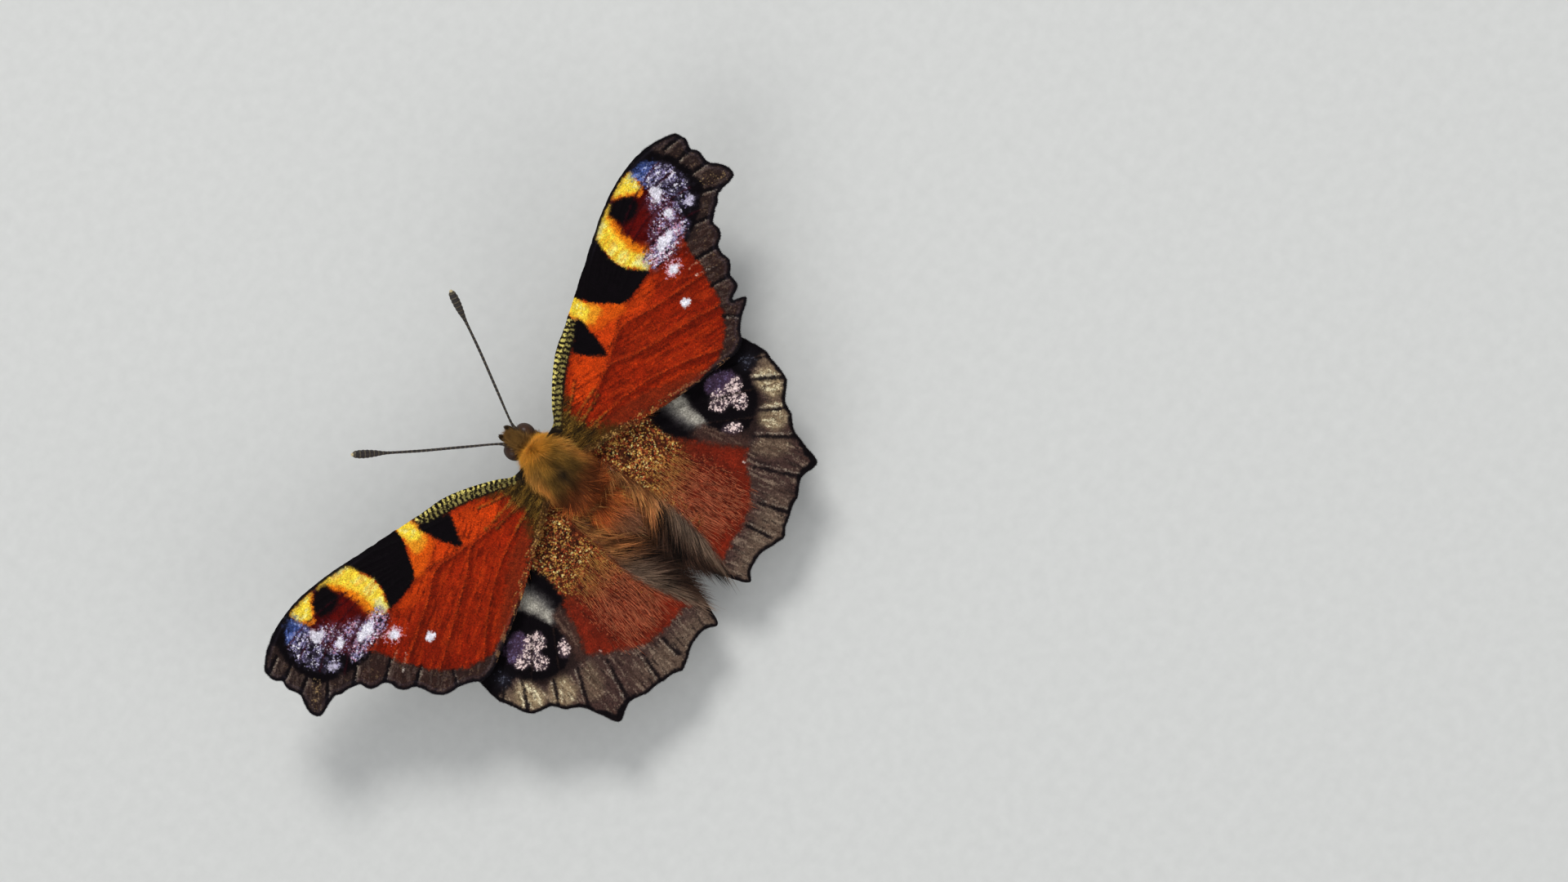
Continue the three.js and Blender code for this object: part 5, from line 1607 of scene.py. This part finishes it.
class PEACOCK_OT_legs(bpy.types.Operator):
    """Make the four walking legs and the two folded fore legs"""
    bl_idname = "peacock.legs"
    bl_label = "Legs"

    def execute(self, context):
        material = horn_material("leg", rgb(70, 54, 40), rgb(150, 124, 88), 9, 0.35)
        for name, side in SIDES:
            for pair, stations in WALKING_LEGS.items():
                foot = (0.73, 0.79, 0.85, 0.91, 0.96)
                parts = [smooth_limb(stations, 14, 150, (0.02, 0.14, 0.37, *foot)), *claws(stations)]
                mesh = limb_mesh(f"fine_leg_{pair}_{name}", parts, on_floor, side)
                piece(mesh, material, "leg", (f"leg_{pair}_{name}",))
            folded = smooth_limb(FOLDED_LEG, 12, 60, (0.3, 0.6, 0.8))
            mesh = limb_mesh(f"fine_leg_fore_{name}", [folded], in_row, side)
            piece(mesh, material, "leg", (f"leg_fore_{name}",))
        return {"FINISHED"}


def make_wings(kind, paint, seed):
    settings = bpy.context.scene.peacock_wings
    material = wing_material(f"{kind}_scales")
    for name, side in SIDES:
        mesh = wing_mesh(f"fine_{kind}_{name}", wing_shape(kind, side), settings.spacing / MM,
                         settings.thickness / MM, paint, side, seed + side)
        piece(mesh, material, kind, (f"{kind}_{name}",))


class PEACOCK_OT_forewings(bpy.types.Operator):
    """Make the forewings with their markings"""
    bl_idname = "peacock.forewings"
    bl_label = "Forewings"

    def execute(self, context):
        make_wings("forewing", forewing_colours, 100)
        return {"FINISHED"}


class PEACOCK_OT_hindwings(bpy.types.Operator):
    """Make the hindwings with their markings"""
    bl_idname = "peacock.hindwings"
    bl_label = "Hindwings"

    def execute(self, context):
        make_wings("hindwing", hindwing_colours, 120)
        return {"FINISHED"}


class PEACOCK_OT_fur(bpy.types.Operator):
    """Grow the fur of thorax, head, abdomen, palps and legs"""
    bl_idname = "peacock.fur"
    bl_label = "Fur"

    def execute(self, context):
        settings = context.scene.peacock_body
        fur, seed = settings.fur / MM, settings.seed
        skin = bpy.data.objects["body_skin"].data
        p = flat_places(skin)
        x, y, z = p.T
        colour = body_colours(p)
        material = coat_material("fur", 0.75, 1.15)

        def grow(name, look, weight, length, lie, order, tone=colour):
            grow_coat(name, skin, look, weight, length, lie @ TURN.T, tone, material, "fur", seed + order)

        chest = ramp(y, -2.3, -1.7) * (1 - ramp(y, 4.9, 5.8)) * (1 - 0.75 * bald_spot(x, y, z))
        backward = vectors(x * 0.25, 1, 0.3 * (1 - ramp(y, -2, 0)))
        shoulder = shoulder_share(x, y)
        backward[:, 0] += np.sign(x) * (0.5 * (1 - ramp(y, -1.6, 0.4)) + 0.9 * shoulder)
        collar = (1 - ramp(y, -1.5, -0.6))[:, None]
        forward = vectors(x * 0.5, -0.6, 0.5 * (z + 1.1))
        lie = backward * (1 - collar) + forward * collar
        length = 0.68 + 0.15 * ramp(y, -1.5, 1) + 0.5 * ramp(y, 2.8, 4.4) + 0.5 * shoulder
        grow("thorax_fur", Tufts(175, fur, 0.014, 0.2, 0.45, 0.28, 2), chest, length, lie, 0)
        grow("thorax_down", Tufts(430, fur, 0.022, 0, 0.5, 0.36, 1), chest, length * 0.62, lie, 4)

        face = 1 - ramp(y, -2.2, -1.5)
        outward = p - with_head([(0, -2.0, -1.9)])[0]
        outward[:, 1] -= 0.6
        clear = np.minimum(*(solid_gap(with_head(p, -1) * [s, 1, 1], EYE) for s in (1, -1)))
        grow("head_fur", Tufts(1100, settings.head_fur / MM, 0.02, 0, 0.6, 0.36, 1),
             face * ramp(clear, 0.0, 0.08), 1 + 0.5 * (1 - ramp(clear, 0.1, 0.4)), outward, 1)
        down = vectors(x * 0.05, 1, -0.24)
        grow("abdomen_fur", Tufts(120, settings.belly_fur / MM, 0.05, 0.1, 0.28, 0.22, 2), ramp(y, 4.6, 5.4),
             np.ones(len(p)), down, 2)

        saddle = ramp(y, 3.2, 4.4) * (1 - ramp(y, 8.0, 11.0)) * ramp(z + 0.3 * y, -1.6, -0.6)
        out = vectors(x * 0.5 + 0.9 * Noise(8).rough(p[:, :2] / 0.9), 1, 0.02)
        # The saddle hair is painted about twice as light, in lighter and darker strands, as painted light
        # where the hindwing hair shades it
        saddle_light = 1.9 + 1.2 * Noise(9).rough(p[:, :2] / 0.5)[:, None]
        grow("saddle_hair", Tufts(170, fur, 0.011, 0.16, 0.4, 0.3), saddle,
             1.2 + 0.4 * ramp(np.abs(x), 0.6, 1.6), out, 3, np.clip(colour * saddle_light, 0.01, 1))
        for i, (name, side) in enumerate(SIDES):
            self.palp_fur(bpy.data.objects[f"fine_palp_{name}"].data, name, material, seed + 10 + i)
            for k, pair in enumerate(("mid", "hind", "fore")):
                self.leg_hair(pair, name, side, material, seed + 20 + 3 * i + k)
        return {"FINISHED"}

    def palp_fur(self, host, name, material, seed):
        p = flat_places(host)
        ones = np.ones(len(p))
        along = np.tile([0, -1.0, 0.7], (len(p), 1))
        colour = np.where((p[:, 2] < -2.4)[:, None], rgb(70, 56, 44), rgb(64, 48, 30))
        grow_coat(f"palp_fur_{name}", host, Tufts(620, 0.34, 0.04, 0.05, 0.1, 0.1, 2, 0.3), ones, ones,
                  along @ TURN.T, colour, material, "fur", seed)

    def leg_hair(self, pair, name, side, material, seed):
        host = bpy.data.objects[f"fine_leg_{pair}_{name}"].data
        share = values_of(host, "along")
        line = smooth_path(FOLDED_LEG if pair == "fore" else WALKING_LEGS[pair])[:, :3]
        line = evenly(line, 101) * [side, 1, 1]
        way = np.gradient(line, axis=0)[np.clip(share * 100, 0, 100).astype(int)]
        look = Tufts(110, 0.32, 0.035, 0.05, 0.4, 0.16, 2)
        if pair == "fore":
            way = way @ TURN.T
            look = look._replace(density=420, length=0.5)
        thigh = 1 - ramp(share, 0.3, 0.42)
        colour = rgb(124, 98, 66) + np.outer(thigh, rgb(-40, -34, -22))
        rows = np.zeros(len(host.vertices) * 3)
        host.vertices.foreach_get("co", rows)
        off_floor = ramp(rows[2::3] / MM, 0.12, 0.5)
        weight = (0.35 + 0.65 * thigh) * off_floor
        grow_coat(f"leg_hair_{pair}_{name}", host, look, weight, 0.5 + 0.9 * thigh, way,
                  np.clip(colour, 0.01, 1), material, "leg", seed)


def fringe_host(name, shape, side, level, keep):
    """A narrow ribbon along a wing's margin, on which its fringe grows."""
    line = shape.outline
    way = unit(np.roll(line, -1, 0) - np.roll(line, 1, 0))
    out = np.column_stack([way[:, 1], -way[:, 0]])
    inner = np.column_stack([line - out * RIBBON_INNER, level])
    outer = np.column_stack([line - out * RIBBON_OUTER, level - 0.02])
    count = len(line)
    faces = []
    for i in np.flatnonzero(keep > 0.3):
        k = (i + 1) % count
        faces += [(i, k + count, k), (i, i + count, k + count)]
    points, faces = on_side(side, np.vstack([inner, outer]), faces)
    return new_mesh(name, in_row(points), faces), np.vstack([out, out]), np.vstack([line, line])


class PEACOCK_OT_wing_hair(bpy.types.Operator):
    """Grow the fringes of the margins and the hair near the body"""
    bl_idname = "peacock.wing_hair"
    bl_label = "Fringes and wing hair"

    def execute(self, context):
        settings = context.scene.peacock_wings
        scales = coat_material("fringe", 0.8, 1.1)
        hair = coat_material("wing_hair", 0.6, 1.15, (0.4, 1.35))
        for i, (name, side) in enumerate(SIDES):
            for k, kind in enumerate(("forewing", "hindwing")):
                mesh = bpy.data.objects[f"fine_{kind}_{name}"].data
                self.fringe(kind, name, side, mesh, settings, scales, FRINGE_SEED + 2 * i + k)
                self.hair(kind, name, side, mesh, settings, hair, HAIR_SEED + 2 * i + k)
            self.down(name, side, mesh, settings, hair, DOWN_SEED + i)
        return {"FINISHED"}

    def down(self, name, side, mesh, settings, material, seed):
        """Fine hair on the hindwing's red"""
        p = flat_places(mesh, side)
        x, y, _ = p.T
        noise = Noise(seed)
        outer = 1 - ramp(x - 0.2 * (y - 9), 6.0, 8.6)
        weight = (values_of(mesh, "upper") > 0.5) * ramp(x - inner_edge(y), -0.3, 0.5) * outer
        weight = weight * ramp(y, 6.5, 10) * (1 - ramp(y, 14.8, 17))
        weight = weight * (0.8 + 0.6 * noise.rough(p[:, :2] * [1.8, 0.5]))
        aside = 0.04 * (x - 3) + 0.25 * noise.rough(p[:, :2] * [0.7, 0.35] + 31)
        colour = np.tile(rgb(250, 144, 100), (len(x), 1))
        colour = toned(colour, rgb(246, 184, 92), 1 - ramp(y, 8, 12))
        look = Tufts(50, settings.down / MM, 0.02, 0.06, 0.14, 0.14, 2)
        self.grow(f"hindwing_down_{name}", mesh, look, weight, 1 + 0 * x, vectors(aside, 1, 0), side,
                  colour, material, "hindwing", seed)

    def grow(self, name, mesh, look, weight, length, lie, side, colour, material, slot, seed):
        """Grows a coat whose lie is given as it is on the left wings"""
        grow_coat(name, mesh, look, weight, length, lie * [side, 1, 1] @ TURN.T, colour, material, slot,
                  seed)

    def fringe(self, kind, name, side, mesh, settings, material, seed):
        shape = wing_shape(kind, side)
        line = shape.outline
        x, y = line.T
        if kind == "forewing":
            keep = ramp(x + 0.4 * y, 19, 21) * (1 - ramp(-y - 0.9 * (x - 26), 9, 10))
        else:
            keep = ramp(x * 0.5 + y, 13, 15) * ramp(x, 2, 3)
        level = flat_places(mesh, side)[: len(line), 2] - 0.02
        host, out, places = fringe_host(f"{kind}_ribbon_{name}", shape, side, level, keep)
        bake_map(host, wing_map(shape, places, 0))
        keep = np.tile(keep, 2)
        pale = ramp(Noise(seed).rough(places / 0.7), 0.3, 0.6)[:, None] * 0.4
        colour = rgb(20, 15, 20) + rgb(100, 93, 84) * pale
        look = Tufts(1100, settings.fringe / MM, 0.085, 0.04, 0.03, 0.2, 2)
        self.grow(f"{kind}_fringe_{name}", host, look, keep, 0.2 + 0.28 * keep, vectors(*out.T, 0), side,
                  colour, material, kind, seed)
        bpy.data.meshes.remove(host)

    def hair(self, kind, name, side, mesh, settings, material, seed):
        p = flat_places(mesh, side)
        x, y, _ = p.T
        if kind == "forewing":
            near_margin = ramp(y - 0.42 * x, 0.3, 1.1)
            weight = (1 - ramp(x, 3.2, 5.4)) * 0.9 + near_margin * (1 - ramp(x, 8, 13)) * 0.35
            weight *= ramp(y + 0.75 * x, 0.9, 1.7)
            lie = vectors(1, 0.1 + 1.1 * near_margin, 0)
            colour = np.tile(rgb(186, 138, 58), (len(x), 1))
            colour = toned(colour, rgb(160, 98, 52), near_margin)
            length = 0.32 + 0.04 * near_margin
            look = Tufts(150, 2.2, 0.011, 0.05, 0.2, 0.34)
            wander, clumps = 0.3, 0.8
        else:
            edge = inner_edge(y)
            field = 1 - ramp(x - edge, -0.5, 0.5)
            weight = field * ramp(y, 3.0, 4.0) * (1 - ramp(y, 15.5, 19.5))
            lie = vectors((-1.15 + 0.85 * ramp(y, 12, 17)) * field + 0.04, 1, 0)
            colour = np.tile(rgb(84, 60, 48), (len(x), 1))
            colour = toned(colour, rgb(158, 130, 108), ramp(x - edge, -1.2, -0.3))
            colour = toned(colour, rgb(232, 146, 84), 1 - ramp(y, 8.5, 12))
            length = 0.19 + (0.81 - 0.3 * ramp(y, 13, 17)) * field
            look = Tufts(175, settings.hair / MM, 0.011, 0.1, 0.17, 0.2, 2)
            wander, clumps = 0.5, 1.4
        noise = Noise(seed)
        way = unit(lie[:, :2])
        # Clumps along the flow of the hair are painted lighter and darker: painted highlights and shade on
        # the clumps
        flow = np.column_stack([x * way[:, 1] - y * way[:, 0], 0.2 * (x * way[:, 0] + y * way[:, 1])])
        shaded = colour * np.clip(0.86 + clumps * noise.rough(flow * 3.2)[:, None], 0.2, 1.25)
        weight = weight * (0.75 + 0.4 * noise.rough(p[:, :2] * [1.2, 0.6] + 9))
        lie[:, 0] += wander * noise.rough(p[:, :2] * [0.7, 0.35] + 31)
        self.grow(f"{kind}_hair_{name}", mesh, look, weight * (values_of(mesh, "upper") > 0.5), length, lie,
                  side, np.clip(shaded, 0.01, 1), material, kind, seed)


class PEACOCK_OT_stage(bpy.types.Operator):
    """Set up floor, lights and camera"""
    bl_idname = "peacock.stage"
    bl_label = "Stage"

    def execute(self, context):
        settings = context.scene.peacock_stage
        made = [self.floor()]
        middle = Vector(in_row([0, 6, 0]))
        lamps = (("key", (-0.32, -0.4, 0.6), 0.28, settings.key),
                 ("fill", (0.5, 0.1, 0.5), 0.6, settings.fill),
                 ("rim", (-0.1, 0.6, 0.35), 0.5, settings.fill * 0.7))
        for name, place, size, power in lamps:
            lamp = bpy.data.lights.new(name, "AREA")
            lamp.shape = "DISK"
            lamp.size = size
            lamp.energy = power
            thing = in_scene(name, lamp)
            thing.location = place
            thing.rotation_euler = (middle - Vector(place)).to_track_quat("-Z", "Y").to_euler()
            made.append(thing)
        world = bpy.data.worlds.new("sky")
        world.use_nodes = True
        back = world.node_tree.nodes["Background"].inputs
        back["Color"].default_value = opaque(rgb(232, 236, 242))
        back["Strength"].default_value = settings.sky
        context.scene.world = world
        context.scene.view_settings.view_transform = "Standard"
        made.append(self.camera(context.scene, settings))
        return {"FINISHED"}

    def floor(self):
        corners = [(-2, -2, 0), (2, -2, 0), (2, 2, 0), (-2, 2, 0)]
        mesh = new_mesh("floor", corners, [(0, 1, 2, 3)], smooth=False)
        m = Finish("floor", 0.8)
        paper = m.add("ShaderNodeTexNoise", {"Vector": m.place, "Scale": 900.0, "Detail": 3.0}).outputs[0]
        m.set("Base Color", m.mix(paper, opaque(rgb(214, 214, 210)), opaque(rgb(226, 226, 222))))
        mesh.materials.append(m.material)
        return in_scene("floor", mesh)

    def camera(self, scene, settings):
        """Looks straight down on the wings, turned as the photo is."""
        tail, up = TURN[:, 1], TURN[:, 2]
        c, s = math.cos(settings.turned), math.sin(settings.turned)
        right = np.array([-c, 0, 0]) + s * tail
        top = -np.array([s, 0, 0]) - c * tail
        camera = bpy.data.cameras.new("camera")
        camera.sensor_width = 36
        camera.lens = 36 * settings.away / settings.frame_width
        camera.clip_start = 0.01
        thing = in_scene("camera", camera)
        place = in_row(np.array(settings.aim)) + up * settings.away
        turn = Matrix(np.column_stack([right, top, up]).tolist())
        thing.matrix_world = Matrix.Translation(place) @ turn.to_4x4()
        scene.camera = thing
        return thing


class PEACOCK_PT_panel(bpy.types.Panel):
    """Lists the butterfly's settings and the steps that build it"""
    bl_idname = "PEACOCK_PT_panel"
    bl_label = "Butterfly"
    bl_space_type = "VIEW_3D"
    bl_region_type = "UI"
    bl_category = "Butterfly"

    def draw(self, context):
        for group in (context.scene.peacock_body, context.scene.peacock_wings, context.scene.peacock_stage):
            box = self.layout.box()
            for name in group.bl_rna.properties.keys():
                if name not in ("rna_type", "name"):
                    box.prop(group, name)
        for step in STEPS:
            self.layout.operator(step.bl_idname)


STEPS = (PEACOCK_OT_skin, PEACOCK_OT_eyes, PEACOCK_OT_feelers, PEACOCK_OT_legs, PEACOCK_OT_forewings,
         PEACOCK_OT_hindwings, PEACOCK_OT_fur, PEACOCK_OT_wing_hair, PEACOCK_OT_stage)
GROUPS = (("peacock_wings", WingSettings), ("peacock_body", BodySettings), ("peacock_stage", StageSettings))


def register():
    for name, group in GROUPS:
        bpy.utils.register_class(group)
        setattr(bpy.types.Scene, name, PointerProperty(type=group))
    for kind in (*STEPS, PEACOCK_PT_panel):
        bpy.utils.register_class(kind)


def unregister():
    for kind in (PEACOCK_PT_panel, *reversed(STEPS)):
        bpy.utils.unregister_class(kind)
    for name, group in GROUPS:
        delattr(bpy.types.Scene, name)
        bpy.utils.unregister_class(group)


def main():
    register()
    for step in STEPS:
        group, name = step.bl_idname.split(".")
        getattr(getattr(bpy.ops, group), name)()


if __name__ == "__main__":
    main()
